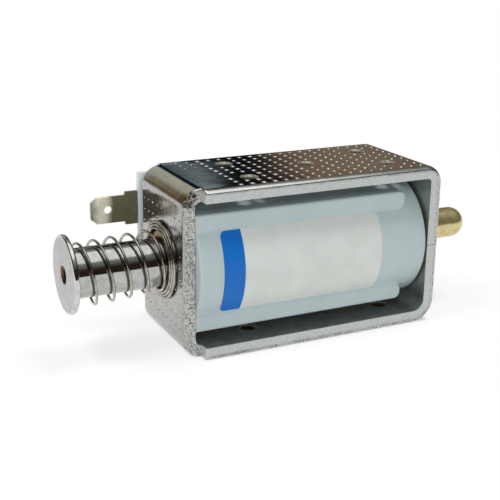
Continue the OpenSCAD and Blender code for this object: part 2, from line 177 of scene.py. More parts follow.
@dataclass(frozen=True)
class Finish:
    """A surface made of two shades that mottle into each other, with a fine grain in relief.

    Args:
        name: The material's name, after what the real one is and how it was made.
        light: Hex colour of most of the surface.
        dark: Hex colour of the pits, tarnish or shaded patches.
        metallic: 1 for a metal, 0 for anything else.
        roughness: Mean roughness.
        spread: How far the roughness varies to each side of the mean.
        patch_mm: Size of the patches of the two shades.
        dark_share: Share of the surface that takes the dark shade.
        grain_mm: Size of the grain along X, Y and Z.
        relief_mm: Height of the grain.
        wave_mm: Size of the slow waves left by rolling or moulding, or 0 for none.
        wave_relief_mm: Height of those waves.
    """

    name: str
    light: str
    dark: str
    metallic: float = 0.0
    roughness: float = 0.5
    spread: float = 0.08
    patch_mm: float = 3.0
    dark_share: float = 0.4
    grain_mm: Point3 = (0.3, 0.3, 0.3)
    relief_mm: float = 0.01
    wave_mm: float = 0.0
    wave_relief_mm: float = 0.0

    def coordinates(self, tree: bpy.types.NodeTree) -> Socket:
        """Gives the place on the piece in millimetres."""
        place = add_node(tree, "ShaderNodeTexCoord")
        scale = {0: place.outputs["Object"], "Scale": 1 / MM}
        return add_node(tree, "ShaderNodeVectorMath", scale, operation="SCALE").outputs[0]

    def colour(self, tree: bpy.types.NodeTree, place: Socket) -> Socket:
        """Mottles the dark shade into the light one.

        Args:
            tree: The material's node tree.
            place: Coordinates in millimetres.

        Returns:
            The socket that carries the colour.
        """
        patches = add_node(
            tree, "ShaderNodeTexNoise",
            {"Vector": place, "Scale": 1 / self.patch_mm, "Detail": 6.0, "Roughness": 0.65},
        )
        middle = NOISE_LOW + NOISE_SPAN * self.dark_share
        factor = add_node(
            tree, "ShaderNodeMapRange",
            {"Value": patches.outputs[0], "From Min": middle + PATCH_FADE, "From Max": middle - PATCH_FADE},
        )
        mixed = add_node(
            tree, "ShaderNodeMix",
            {0: factor.outputs[0], 6: linear(self.light), 7: linear(self.dark)},
            data_type="RGBA",
        )
        return mixed.outputs[2]

    def height(self, tree: bpy.types.NodeTree, place: Socket) -> Socket:
        """Gives the height of the grain in units of its relief.

        Args:
            tree: The material's node tree.
            place: Coordinates in millimetres.

        Returns:
            The socket that carries the height, from 0 to 1.
        """
        stretched = add_node(
            tree, "ShaderNodeVectorMath",
            {0: place, 1: tuple(1 / size for size in self.grain_mm)}, operation="MULTIPLY",
        )
        grain = add_node(
            tree, "ShaderNodeTexNoise",
            {"Vector": stretched.outputs[0], "Scale": 1.0, "Detail": 3.0, "Roughness": 0.55},
        )
        return grain.outputs[0]

    def shape_shader(self, shader: bpy.types.Node) -> None:
        """Sets what a finish has beyond colour, roughness and relief."""

    def build(self) -> bpy.types.Material:
        """Makes the material, or returns the one that was made before."""
        found = bpy.data.materials.get(self.name)
        if found is not None:
            return found
        material = bpy.data.materials.new(self.name)
        material.use_nodes = True
        tree = material.node_tree
        shader = tree.nodes["Principled BSDF"]
        place = self.coordinates(tree)
        tree.links.new(self.colour(tree, place), shader.inputs["Base Color"])
        shader.inputs["Metallic"].default_value = self.metallic
        height = self.height(tree, place)
        rough = add_node(
            tree, "ShaderNodeMapRange",
            {
                "Value": height, "From Min": 0.3, "From Max": 0.7,
                "To Min": self.roughness - self.spread, "To Max": self.roughness + self.spread,
            },
        )
        tree.links.new(rough.outputs[0], shader.inputs["Roughness"])
        bump = add_node(
            tree, "ShaderNodeBump", {"Height": height, "Strength": 1.0, "Distance": self.relief_mm * MM}
        )
        if self.wave_mm:
            waves = add_node(
                tree, "ShaderNodeTexNoise", {"Vector": place, "Scale": 1 / self.wave_mm, "Detail": 1.0}
            )
            bump = add_node(
                tree, "ShaderNodeBump",
                {
                    "Height": waves.outputs[0], "Strength": 1.0,
                    "Distance": self.wave_relief_mm * MM, "Normal": bump.outputs[0],
                },
            )
        tree.links.new(bump.outputs[0], shader.inputs["Normal"])
        self.shape_shader(shader)
        return material


@dataclass(frozen=True)
class LabelFilm(Finish):
    """Satin polyester film, printed with a plain band at its plunger end.

    Args:
        band: Hex colour of the band.
        band_mm: Where the band ends along X.
        blur_mm: Half the width of the band's printed edge.
    """

    band: str = "#2a67b0"
    band_mm: float = 0.0
    blur_mm: float = 0.04

    def shape_shader(self, shader: bpy.types.Node) -> None:
        """Printed film has less gloss than bare film."""
        shader.inputs["Specular IOR Level"].default_value = 0.25

    def colour(self, tree: bpy.types.NodeTree, place: Socket) -> Socket:
        """Lays the band over the film's own shade, with a crisp printed edge."""
        film = super().colour(tree, place)
        along = add_node(tree, "ShaderNodeSeparateXYZ", {0: place})
        edge = add_node(
            tree, "ShaderNodeMapRange",
            {
                "Value": along.outputs[0],
                "From Min": self.band_mm + self.blur_mm, "From Max": self.band_mm - self.blur_mm,
            },
        )
        ink = add_node(
            tree, "ShaderNodeMix", {0: edge.outputs[0], 6: film, 7: linear(self.band)}, data_type="RGBA"
        )
        return ink.outputs[2]


@dataclass(frozen=True)
class MilkyNylon(Finish):
    """Natural nylon, which lets some light in below its skin."""

    def shape_shader(self, shader: bpy.types.Node) -> None:
        """Lets light spread about a millimetre below the skin."""
        shader.inputs["Subsurface Weight"].default_value = 0.35
        shader.inputs["Subsurface Radius"].default_value = (1.0, 1.0, 1.1)
        shader.inputs["Subsurface Scale"].default_value = 1.2 * MM
        shader.inputs["IOR"].default_value = 1.53


@dataclass(frozen=True)
class TarnishedTin(Finish):
    """Thin tin over brass that is still bright where a receptacle has rubbed it, and tarnished elsewhere.

    Args:
        tarnish: Hex colour of the tarnish.
        bright_mm: Middle of the bright patch along X.
        reach_mm: How far the tarnish stays away from it.
        cloud_mm: Size of the clouds along the tarnish's border.
    """

    tarnish: str = "#6a6650"
    bright_mm: float = 0.0
    reach_mm: float = 1.7
    cloud_mm: float = 2.4

    def colour(self, tree: bpy.types.NodeTree, place: Socket) -> Socket:
        """Lays the tarnish over the tin's own shade, with an uneven border."""
        tin = super().colour(tree, place)
        along = add_node(tree, "ShaderNodeSeparateXYZ", {0: place})
        offset = add_node(
            tree, "ShaderNodeMath", {0: along.outputs[0], 1: self.bright_mm}, operation="SUBTRACT"
        )
        away = add_node(tree, "ShaderNodeMath", {0: offset.outputs[0]}, operation="ABSOLUTE")
        clouds = add_node(
            tree, "ShaderNodeTexNoise", {"Vector": place, "Scale": 1 / self.cloud_mm, "Detail": 3.0}
        )
        uneven = add_node(
            tree, "ShaderNodeMath", {0: clouds.outputs[0], 1: self.reach_mm, 2: away.outputs[0]},
            operation="MULTIPLY_ADD",
        )
        share = add_node(
            tree, "ShaderNodeMapRange",
            {"Value": uneven.outputs[0], "From Min": self.reach_mm, "From Max": 2 * self.reach_mm},
        )
        mixed = add_node(
            tree, "ShaderNodeMix", {0: share.outputs[0], 6: tin, 7: linear(self.tarnish)}, data_type="RGBA"
        )
        return mixed.outputs[2]


# Mild steel strip, nickel plated after bending: crisp reflections, a little uneven from the rolling.
NICKEL_STRIP = Finish(
    "nickel_plated_rolled_steel", "#c9cac8", "#bcbbb7", metallic=1.0, roughness=0.1, spread=0.04,
    patch_mm=1.6, dark_share=0.3, grain_mm=(2.2, 0.35, 0.7), relief_mm=0.006,
    wave_mm=7.0, wave_relief_mm=0.03,
)
# The same strip on the plunger end plate, where the bend has opened the surface: rougher and pitted.
NICKEL_WORN = Finish(
    "nickel_plated_rolled_steel_worn", "#abaaa8", "#56534d", metallic=1.0, roughness=0.17, spread=0.08,
    patch_mm=0.7, dark_share=0.0, grain_mm=(0.5, 0.5, 1.4), relief_mm=0.01,
    wave_mm=4.0, wave_relief_mm=0.06,
)
# The inner faces of the box, which no roll has touched: the plating is thinner there and satin.
NICKEL_INNER = Finish(
    "nickel_plated_steel_satin", "#aab3b0", "#98a19d", metallic=0.82, roughness=0.36, spread=0.06,
    patch_mm=2.2, dark_share=0.4, grain_mm=(0.6, 0.6, 0.6), relief_mm=0.008,
)
# Edge sheared by the blanking die and then plated: a dull grey with a fine sandy grain.
SHEARED_EDGE = Finish(
    "sheared_steel_edge", "#c2c6c4", "#b1b6b4", metallic=0.3, roughness=0.6, spread=0.08,
    patch_mm=0.35, dark_share=0.5, grain_mm=(0.3, 0.4, 0.3), relief_mm=0.05,
)
# Edge of the plunger end plate, torn by the narrower punch: dark patches of painted shade for its hollows,
# between bright burrs.
TORN_EDGE = Finish(
    "torn_steel_edge", "#c6c7c4", "#6d6a64", metallic=0.6, roughness=0.4, spread=0.15,
    patch_mm=0.45, dark_share=0.24, grain_mm=(0.4, 0.4, 0.3), relief_mm=0.08,
)
# Painted shade for the hollow that the punch has torn out of a bend: black where its depth would lie in
# shade, with a few bright ridges.
TORN_BEND_PAINTED_SHADE = Finish(
    "torn_steel_bend_painted_shade", "#b5b2aa", "#1f1c18", metallic=0.8, roughness=0.35, spread=0.15,
    patch_mm=0.5, dark_share=0.6, grain_mm=(0.4, 0.4, 0.3), relief_mm=0.12,
)
# Threads tapped after the plating: bare flanks, a light olive grey with little gloss.
CUT_THREAD = Finish(
    "cut_steel_thread", "#b4b3a6", "#77736a", metallic=0.65, roughness=0.45, spread=0.1,
    patch_mm=0.4, dark_share=0.5, grain_mm=(0.3, 0.3, 0.12), relief_mm=0.03,
)
# Brown threads, dark in patches: painted shade in the lower plate's holes, which open onto the table and lie
# dark, and the brown of the plunger's threaded end.
BROWN_THREAD_SHADE = Finish(
    "brown_steel_thread_painted_shade", "#8a7550", "#43362a", metallic=0.8, roughness=0.4, spread=0.1,
    patch_mm=0.5, dark_share=0.5, grain_mm=(0.3, 0.3, 0.3), relief_mm=0.03,
)
# Moulded ABS: an even matte blue-grey with a spark-eroded grain.
COVER_ABS = Finish(
    "moulded_blue_grey_abs", "#a7b4b6", "#a3b0b2", roughness=0.5, spread=0.05, patch_mm=9.0,
    dark_share=0.5, grain_mm=(0.22, 0.22, 0.22), relief_mm=0.006, wave_mm=9.0, wave_relief_mm=0.05,
)
# Turned and polished steel under bright nickel: sharp reflections, with faint rings from the lathe.
PLUNGER_NICKEL = Finish(
    "polished_nickel_plated_steel", "#b6b7b6", "#a6a5a1", metallic=1.0, roughness=0.09, spread=0.04,
    patch_mm=1.6, dark_share=0.3, grain_mm=(0.16, 3.0, 3.0), relief_mm=0.003,
)
# Stamped washer under the same plating: its face keeps the sheet's fine matte grain.
DISC_NICKEL = Finish(
    "matte_nickel_plated_steel", "#bcbcba", "#b0b0ae", metallic=1.0, roughness=0.34, spread=0.08,
    patch_mm=2.5, dark_share=0.4, grain_mm=(0.2, 0.25, 0.25), relief_mm=0.006,
)
# The washer's rim, burnished by the blanking die to a mirror.
DISC_RIM = Finish(
    "burnished_nickel_plated_steel", "#d2d2d3", "#bcbcbd", metallic=1.0, roughness=0.08, spread=0.03,
    patch_mm=1.5, dark_share=0.3, grain_mm=(0.3, 1.0, 1.0), relief_mm=0.003,
)
# Drawn spring wire: warm grey, with drawing lines too fine to show as more than a sheen.
SPRING_STEEL = Finish(
    "drawn_spring_steel", "#bbb7ae", "#969085", metallic=1.0, roughness=0.22, spread=0.06,
    patch_mm=2.2, dark_share=0.35, grain_mm=(0.5, 0.5, 0.5), relief_mm=0.003,
)
# Turned brass, tumbled after turning: a pale satin yellow.
TURNED_BRASS = Finish(
    "turned_brass", "#d0c593", "#c0b27c", metallic=0.8, roughness=0.22, spread=0.05,
    patch_mm=1.4, dark_share=0.35, grain_mm=(0.14, 0.8, 0.8), relief_mm=0.004,
)
# Drawn brass tube: the same alloy, dulled by handling.
DRAWN_BRASS = Finish(
    "drawn_brass_tube", "#96834a", "#5d502a", metallic=1.0, roughness=0.32, spread=0.1,
    patch_mm=0.8, dark_share=0.4, grain_mm=(0.8, 0.2, 0.2), relief_mm=0.01,
)
# Natural nylon: milky, with a faint cool cast.
BLOCK_NYLON = MilkyNylon(
    "moulded_natural_nylon", "#e2e8e9", "#dae1e3", roughness=0.42, spread=0.06, patch_mm=4.0,
    grain_mm=(0.3, 0.3, 0.3), relief_mm=0.006,
)
# The bobbin is the same nylon, unbleached.
BOBBIN_NYLON = MilkyNylon(
    "moulded_ivory_nylon", "#e9e4d4", "#d9d2bd", roughness=0.45, patch_mm=4.0, relief_mm=0.006
)
# Enamelled copper: the lacquer makes it dark and glossy. The grain is as wide as one wire.
ENAMELLED_COPPER = Finish(
    "enamelled_copper_winding", "#b5622d", "#7d3d18", metallic=1.0, roughness=0.25,
    patch_mm=2.0, grain_mm=(0.35, 6.0, 6.0), relief_mm=0.08,
)
# Polyester tape: a glossy amber skin with shallow wrinkles.
POLYESTER_TAPE = Finish(
    "polyester_winding_tape", "#d8b24a", "#bf9736", roughness=0.2, patch_mm=5.0,
    grain_mm=(3.0, 0.8, 0.8), relief_mm=0.03,
)
# Vulcanised fibre: a dense dark brown paper board.
FIBRE_BOARD = Finish(
    "stamped_vulcanised_fibre", "#4a3527", "#33241a", roughness=0.7, patch_mm=0.6,
    grain_mm=(0.1, 0.4, 0.4), relief_mm=0.02,
)
# Turned mild steel with no plating: grey, with rings from facing the end.
BARE_STEEL = Finish(
    "turned_mild_steel", "#9a9a98", "#6e6d6a", metallic=1.0, roughness=0.3, patch_mm=1.0,
    grain_mm=(0.2, 0.25, 0.25), relief_mm=0.012,
)


# ---------------------------------------------------------------------------------------------------------
# Meshes
# ---------------------------------------------------------------------------------------------------------


@dataclass
class Shell:
    """A mesh in the making, in millimetres.

    Args:
        points: Its vertices.
        faces: Its faces, as indices into points.
        marks: The material index of each face.
    """

    points: list[Point3] = field(default_factory=list)
    faces: list[tuple[int, ...]] = field(default_factory=list)
    marks: list[int] = field(default_factory=list)

    def add(self, points: Iterable[Point3], faces: Iterable[Sequence[int]], mark: int = 0) -> None:
        """Adds points, and faces that count from the first of them."""
        start = len(self.points)
        self.points.extend(points)
        for face in faces:
            self.faces.append(tuple(start + i for i in face))
            self.marks.append(mark)

    def mesh(self, name: str) -> bpy.types.Mesh:
        """Makes Blender's mesh in metres."""
        mesh = bpy.data.meshes.new(name)
        mesh.from_pydata([tuple(v * MM for v in p) for p in self.points], [], self.faces)
        mesh.polygons.foreach_set("material_index", self.marks)
        shaped = bmesh.new()
        shaped.from_mesh(mesh)
        bmesh.ops.recalc_face_normals(shaped, faces=shaped.faces)
        shaped.to_mesh(mesh)
        shaped.free()
        return mesh


def revolve(profile: Sequence[Point2], segments: int) -> tuple[list[Point3], list[tuple[int, ...]]]:
    """Turns a closed or axis-to-axis profile about the plunger's axis.

    Args:
        profile: Points as (x, radius), counter-clockwise with x to the right and radius up. A radius of 0
            puts a point on the axis.
        segments: How many steps make the full turn.

    Returns:
        Points in millimetres, and quads and triangles with their normals outwards.
    """
    points: list[Point3] = []
    index: list[list[int]] = []
    for x, r in profile:
        if r <= 0:
            index.append([len(points)] * segments)
            points.append((x, 0.0, AXIS_Z))
            continue
        index.append(list(range(len(points), len(points) + segments)))
        for k in range(segments):
            a = 2 * math.pi * k / segments
            points.append((x, -r * math.cos(a), AXIS_Z + r * math.sin(a)))
    faces = []
    count = len(profile)
    for i in range(count):
        j = (i + 1) % count
        if profile[i][1] <= 0 and profile[j][1] <= 0:
            continue
        for k in range(segments):
            n = (k + 1) % segments
            ring = (index[i][k], index[i][n], index[j][n], index[j][k])
            faces.append(tuple(dict.fromkeys(ring)))
    return points, faces


def prism(outline: Sequence[Point2], y0: float, y1: float) -> Shell:
    """Extrudes a closed outline of x and z across the frame.

    Args:
        outline: Corner points.
        y0: Where the prism starts.
        y1: Where it ends.

    Returns:
        A closed shell.
    """
    count = len(outline)
    faces: list[tuple[int, ...]] = [tuple(range(count)), tuple(range(2 * count - 1, count - 1, -1))]
    faces += [(k, count + k, count + (k + 1) % count, (k + 1) % count) for k in range(count)]
    shell = Shell()
    shell.add([(x, y, z) for y in (y0, y1) for x, z in outline], faces)
    return shell


def rounded(
    outline: Sequence[Point2], radius: float, steps: int = 4, sharp_to: float = -math.inf
) -> list[Point2]:
    """Rounds the corners of a closed outline, less where an edge is short.

    Args:
        outline: Corner points. A point on the line between its neighbours stays as it is.
        radius: Radius of the rounding.
        steps: Points along each arc, less one.
        sharp_to: Corners whose second coordinate is no more than this stay sharp.

    Returns:
        The rounded outline.
    """
    result: list[Point2] = []
    count = len(outline)
    for i, here in enumerate(outline):
        corner = Vector(here)
        back = Vector(outline[i - 1]) - corner
        ahead = Vector(outline[(i + 1) % count]) - corner
        if min(back.length, ahead.length) < TINY:
            continue
        turn = math.pi - back.angle(ahead)
        if turn < STRAIGHT_RAD or here[1] <= sharp_to:
            result.append(here)
            continue
        reach = min(radius * math.tan(turn / 2), back.length * EDGE_SHARE, ahead.length * EDGE_SHARE)
        start = corner + back.normalized() * reach
        end = corner + ahead.normalized() * reach
        for k in range(steps + 1):
            t = k / steps
            p = start * (1 - t) ** 2 + corner * 2 * t * (1 - t) + end * t**2
            result.append((p.x, p.y))
    return result


def cut_out(target: bpy.types.Object, cutters: Sequence[Shell]) -> None:
    """Cuts closed shells out of a closed mesh.

    Args:
        target: The object whose mesh is changed.
        cutters: Closed shells that don't touch each other.
    """
    merged = Shell()
    for cutter in cutters:
        merged.add(cutter.points, cutter.faces)
    tool = bpy.data.objects.new("cutter", merged.mesh("cutter"))
    bpy.context.scene.collection.objects.link(tool)
    step = target.modifiers.new("cut", "BOOLEAN")
    step.object = tool
    step.operation = "DIFFERENCE"
    step.solver = "MANIFOLD"
    changed = bpy.data.meshes.new_from_object(target.evaluated_get(bpy.context.evaluated_depsgraph_get()))
    target.modifiers.clear()
    old = target.data
    target.data = changed
    bpy.data.meshes.remove(old)
    bpy.data.objects.remove(tool)


def finish_piece(
    piece: bpy.types.Object, finishes: Sequence[Finish], body: Body,
    replaces: Sequence[str] = (), crease_deg: float = 30.0,
) -> bpy.types.Object:
    """Shades a piece, dresses it and puts it on its body.

    Args:
        piece: The object, in place.
        finishes: One finish per material index.
        body: The body that it rides on.
        replaces: The CAD nodes that it stands for.
        crease_deg: Edges sharper than this stay crisp.

    Returns:
        The same object.
    """
    mesh = piece.data
    mesh.shade_smooth()
    mesh.set_sharp_from_angle(angle=math.radians(crease_deg))
    marks = [face.material_index for face in mesh.polygons]
    mesh.materials.clear()
    for finish in finishes:
        mesh.materials.append(finish.build())
    mesh.polygons.foreach_set("material_index", marks)
    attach(piece, body.value)
    if replaces:
        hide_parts(*replaces)
    LOG.info("%s: %d faces on %s", piece.name, len(mesh.polygons), body.value)
    return piece


def place(name: str, shell: Shell) -> bpy.types.Object:
    """Links a new object that holds the shell's mesh."""
    piece = bpy.data.objects.new(name, shell.mesh(name))
    bpy.context.scene.collection.objects.link(piece)
    return piece


# ---------------------------------------------------------------------------------------------------------
# Box frame
# ---------------------------------------------------------------------------------------------------------


class Zone(Enum):
    """Which finish a face of the strip takes, as its material index."""

    PLATE = 0
    SHEARED = 1
    WORN = 2
    TORN = 3
    THREAD = 4
    INNER = 5
    # Painted shade on the hollow torn out of a bend.
    HOLLOW = 6
    # Painted shade in the lower plate's threads.
    OILED = 7


@dataclass(frozen=True)
class Station:
    """One cross-section of the strip.

    Args:
        run: Place along the strip.
        x: Place of the outer face along X.
        z: Height of the outer face.
        angle: Angle of the outward normal, in degrees.
        half: Half the strip's width.
        torn: Whether it is at the plunger end, where the strip is narrow and its edges are torn.
    """

    run: float
    x: float
    z: float
    angle: float
    half: float
    torn: bool


@dataclass(frozen=True)
class Ripple:
    """Smooth random heights along the edges of the strip.

    Args:
        height: Largest height, in the unit of what it is added to.
        per_mm: Waves to a millimetre along the strip.
        through: Waves through the strip's thickness.
        apart: How far from the middle each of the two edges lies in the noise.
        seed: Where that middle lies.
    """

    height: float
    per_mm: float
    through: float
    apart: float = 0.0
    seed: float = 0.0

    def at(self, run: float, depth: float, side: int) -> float:
        """The height at a run along the strip, a share of its thickness and a side of -1 or 1."""
        spot = Vector((run * self.per_mm, depth * self.through, side * self.apart + self.seed))
        return self.height * noise.noise(spot)


@dataclass(frozen=True)
class EdgeWear:
    """How far an edge of the strip lies inside its nominal plane, in millimetres.

    Args:
        mean: Mean depth.
        fracture: What the part that broke, next to the inner face, lies further in.
        ripples: What varies along the edge.
    """

    mean: float
    fracture: float
    ripples: tuple[Ripple, ...]


# Normal angle of the plunger end plate, in degrees.
END_PLATE_DEG = 180.0
SHEARED_WEAR = EdgeWear(0.02, 0.03, (Ripple(0.02, 1.1, 2.0, 7.0), Ripple(0.02, 3.1, 4.0, 3.0, 40.0)))
TORN_WEAR = EdgeWear(
    0.14, 0.07,
    (Ripple(0.16, 1.1, 2.0, 7.0), Ripple(0.15, 3.1, 4.0, 3.0, 40.0), Ripple(0.12, 6.0, 7.0, 5.0, 80.0)),
)
# Chips in the rolled edge go through all of it, so the side of the strip takes the thickness's place.
CHIPS = (Ripple(1.3, 1.3, 9.0, seed=5.0), Ripple(1.0, 4.0, 9.0, seed=25.0))


@dataclass
class BoxFrame:
    """One strip bent into a box, with a butt seam in the rear plate.

    The strip is narrower round the plunger end. Its outer faces carry a lattice of small dimples, left by
    the rolls that flatten it, and its tapped holes are threaded.

    Args:
        strip_t: Thickness of the strip.
        step_inset: Width taken off each edge at the plunger end.
        bend_entry: Outer radius of both bends at the plunger end.
        bend_top: Outer radius of the upper rear bend.
        bend_base: Outer radius of the lower rear bend.
        die_roll: Radius at which the outer faces roll over towards their edges.
        die_roll_top: What the upper plate's radius has more than that.
        roll_deg: Angle at which the roll breaks off.
        roll_lip: Radius at that break.
        lip_deg: Angle at which the break meets the sheared edge.
        roll_steps: Steps along the roll.
        lip_steps: Steps along the break.
        seam_gap: Width of the butt seam.
        step_corner: Rounding of the corners where the strip gets narrower.
        tear_depth: Depth of the hollow that the punch has torn at the plunger end's upper bend.
        tear_deg: Normal angle in the hollow's middle, and how far its depth reaches from there.
        bend_shade_deg: Normal angle in the middle of the painted shade on that hollow, and how far that
            reaches.
        bend_shade_ragged_deg: How far the border of that painted shade wanders.
        bend_shade_rise: Faces next to the inner one that the painted shade leaves out.
        fracture_to: Share of the thickness, from the inner face, that broke and wasn't sheared.
        rag_from: Share of the thickness from which a plain edge is ragged, where it meets the roll.
        rag_mean: Mean depth of those rags.
        rag: What varies along them.
        chip_sink: Share of a chip that also goes down from the outer face.
        bend_steps: Steps round each bend.
        plain_step: Longest step along the strip.
        torn_step: Longest step where its edges are torn.
        corner_steps: Extra steps close to the corners where the strip gets narrower.
        hole_pitch: Spacing of the tapped holes along X and Y.
        tap_r: Core radius of the thread.
        tap_chamfer: Depth of the chamfer at each mouth.
        thread_pitch: Pitch of the thread.
        thread_depth: Depth of the thread.
        dimple_pitch: Spacing of the dimples along the strip and across it.
        dimple_start: Place of one dimple of the lattice, in X and Y.
        dimple_count: Dimples of the lattice along X and Y.
        end_count: Dimples of an end plate's lattice along Z and Y.
        dimple_r: Radius of a dimple.
        dimple_depth: Depth of a dimple.
        dimple_y: Distance from the middle of a long plate up to which it has dimples.
        bare_l: Length at the plunger end where the dimples fade out.
        worn_deg: How far the worn finish of the end plate goes round its bends.
        across: Points across each face of the strip.
        rise: Places through the strip of the points on its sheared edges.
    """

    strip_t: float = 2.9
    step_inset: float = 2.3
    bend_entry: float = 4.4
    bend_top: float = 3.8
    bend_base: float = 5.6
    die_roll: float = 0.7
    die_roll_top: float = 1.4
    roll_deg: float = 48.0
    roll_lip: float = 0.3
    lip_deg: float = 80.0
    roll_steps: int = 6
    lip_steps: int = 4
    seam_gap: float = 0.12
    step_corner: float = 0.5
    tear_depth: float = 0.5
    tear_deg: Point2 = (150.0, 13.0)
    bend_shade_deg: Point2 = (140.0, 30.0)
    bend_shade_ragged_deg: float = 12.0
    bend_shade_rise: int = 3
    fracture_to: float = 0.45
    rag_from: float = 0.6
    rag_mean: float = 0.11
    rag: Ripple = Ripple(0.2, 3.1, 4.0, 3.0, 40.0)
    chip_sink: float = 0.3
    bend_steps: int = 10
    plain_step: float = 0.7
    torn_step: float = 0.35
    corner_steps: tuple[float, ...] = (0.02, 0.1, 0.25)
    hole_pitch: Point2 = (35.6, 13.5)
    tap_r: float = 1.65
    tap_chamfer: float = 0.45
    thread_pitch: float = 0.7
    thread_depth: float = 0.3
    dimple_pitch: Point2 = (2.7, 2.62)
    dimple_start: Point2 = (-33.26, -12.37)
    dimple_count: tuple[int, int] = (25, 11)
    end_count: tuple[int, int] = (10, 9)
    dimple_r: float = 0.7
    dimple_depth: float = 0.26
    dimple_y: float = 13.2
    bare_l: float = 11.8
    worn_deg: float = 30.0
    across: int = 8
    rise: tuple[float, ...] = (0.0, 0.06, 0.14, 0.24, 0.34, 0.44, 0.5, 0.58, 0.66)

    def corners(self) -> list[tuple[float, float, float]]:
        """Centre x, centre z and outer radius of the four bends, in their order along the strip."""
        base, top = FRAME_BOX.lo[2], FRAME_BOX.hi[2]
        return [
            (X_POLE - self.bend_top, top - self.bend_top, self.bend_top),
            (X_ENTRY + self.bend_entry, top - self.bend_entry, self.bend_entry),
            (X_ENTRY + self.bend_entry, base + self.bend_entry, self.bend_entry),
            (X_POLE - self.bend_base, base + self.bend_base, self.bend_base),
        ]

    def path(self) -> list[tuple[float, float, float, float]]:
        """Follows the outer face from the seam upwards and round to the seam again.

        Returns:
            Tuples of the run along the strip, x, z and the outward normal's angle in degrees. Straights
            are taken in one step.
        """
        nodes = [(X_POLE, AXIS_Z + self.seam_gap / 2, 0.0)]
        for quarter, (cx, cz, r) in enumerate(self.corners()):
            for step in range(self.bend_steps + 1):
                angle = 90.0 * quarter + 90.0 / self.bend_steps * step
                a = math.radians(angle)
                nodes.append((cx + r * math.cos(a), cz + r * math.sin(a), angle))
        nodes.append((X_POLE, AXIS_Z - self.seam_gap / 2, 360.0))
        run = 0.0
        result = [(run, *nodes[0])]
        for (x0, z0, _), (x1, z1, angle) in zip(nodes, nodes[1:]):
            run += math.hypot(x1 - x0, z1 - z0)
            result.append((run, x1, z1, angle))
        return result

    def stations(self) -> list[Station]:
        """Places cross-sections along the path, closer together where the edge is torn."""
        path = self.path()
        runs = [p[0] for p in path]
        per_bend = self.bend_steps + 1
        narrow_from, narrow_to = runs[1 + per_bend], runs[3 * per_bend]
        wanted = set(runs)
        for start, end in zip(runs, runs[1:]):
            narrow = narrow_from - TINY <= start < narrow_to - TINY
            count = max(1, round((end - start) / (self.torn_step if narrow else self.plain_step)))
            wanted.update(start + (end - start) * k / count for k in range(count))
        for near in (*self.corner_steps, self.step_corner):
            wanted.update((narrow_from - near, narrow_to + near))
        wide = (FRAME_BOX.hi[1] - FRAME_BOX.lo[1]) / 2
        result = []
        for run in sorted(wanted):
            x, z, angle = (float(np.interp(run, runs, [p[i] for p in path])) for i in (1, 2, 3))
            if narrow_from - TINY <= run <= narrow_to + TINY:
                result.append(Station(run, x, z, angle, wide - self.step_inset, True))
                continue
            gap = min(abs(run - narrow_from), abs(run - narrow_to), self.step_corner)
            r = self.step_corner
            result.append(Station(run, x, z, angle, wide - r + math.sqrt(r * r - (r - gap) ** 2), False))
        return result

    def edge_depth(self, at: Station, depth: float, side: int) -> float:
        """How far the edge lies inside its nominal plane.

        Args:
            at: The cross-section.
            depth: Place through the strip, from 0 at the inner face to 1 at the outer one.
            side: -1 or 1 for the two edges.

        Returns:
            A depth in millimetres, 0 or more.
        """
        wear = TORN_WEAR if at.torn else SHEARED_WEAR
        result = 0.0
        if at.torn:
            middle, reach = self.tear_deg
            result = self.tear_depth * math.exp(-(((at.angle - middle) / reach) ** 2)) * (0.5 + depth)
        elif depth > self.rag_from:
            result = max(0.0, self.rag_mean + self.rag.at(at.run, depth, side))
        if depth < self.fracture_to:
            result += wear.fracture
        result += wear.mean
        for ripple in wear.ripples:
            result += ripple.at(at.run, depth, side)
        return max(0.0, result)

    def chip(self, run: float, side: int) -> float:
        """How much of the rolled edge has broken away at the plunger end, in millimetres."""
        return max(0.0, sum(ripple.at(run, side, side) for ripple in CHIPS))

    def roll(self, angle: float, torn: bool) -> list[Point2]:
        """The rolled outer edge, from the sheared edge to the outer face.

        Args:
            angle: Angle of the outward normal there, in degrees.
            torn: Whether this is the edge at the plunger end.

        Returns:
            Tuples of the distance from the edge's plane and of the distance below the outer face.
        """
        r = self.die_roll + (0.0 if torn else self.die_roll_top * max(0.0, math.sin(math.radians(angle))))
        start, end = math.radians(self.roll_deg), math.radians(self.lip_deg)
        points = []
        for k in range(self.roll_steps + 1):
            a = start * k / self.roll_steps
            points.append((r * math.sin(a), r * (1 - math.cos(a))))
        for k in range(1, self.lip_steps + 1):
            a = start + (end - start) * k / self.lip_steps
            points.append((
                r * math.sin(start) + self.roll_lip * (math.sin(a) - math.sin(start)),
                r * (1 - math.cos(start)) + self.roll_lip * (math.cos(start) - math.cos(a)),
            ))
        reach = points[-1][0]
        return [(reach - out, drop) for out, drop in reversed(points)]

    def section(self, at: Station) -> list[Point2]:
        """The strip's section at one place along it.

        Args:
            at: The cross-section.

        Returns:
            A loop of y and place through the strip, which starts at the inner corner at -Y.
        """
        t = self.strip_t
        roll = self.roll(at.angle, at.torn)
        sides = {}
        for side in (-1, 1):
            chip = self.chip(at.run, side) if at.torn else 0.0
            sides[side] = [(side * (at.half - self.edge_depth(at, d, side)), d * t) for d in self.rise]
            for inset, drop in roll:
                out = at.half - inset - chip * drop / t
                sides[side].append((side * out, t - drop - self.chip_sink * chip * drop / t))
        flat = at.half - roll[-1][0]
        shares = [2 * k / self.across - 1 for k in range(1, self.across)]
        inner = [(at.half * share, 0.0) for share in shares]
        outer = [(-flat * share, t) for share in shares]
        return [sides[-1][0], *inner, *sides[1], *outer, *sides[-1][:0:-1]]

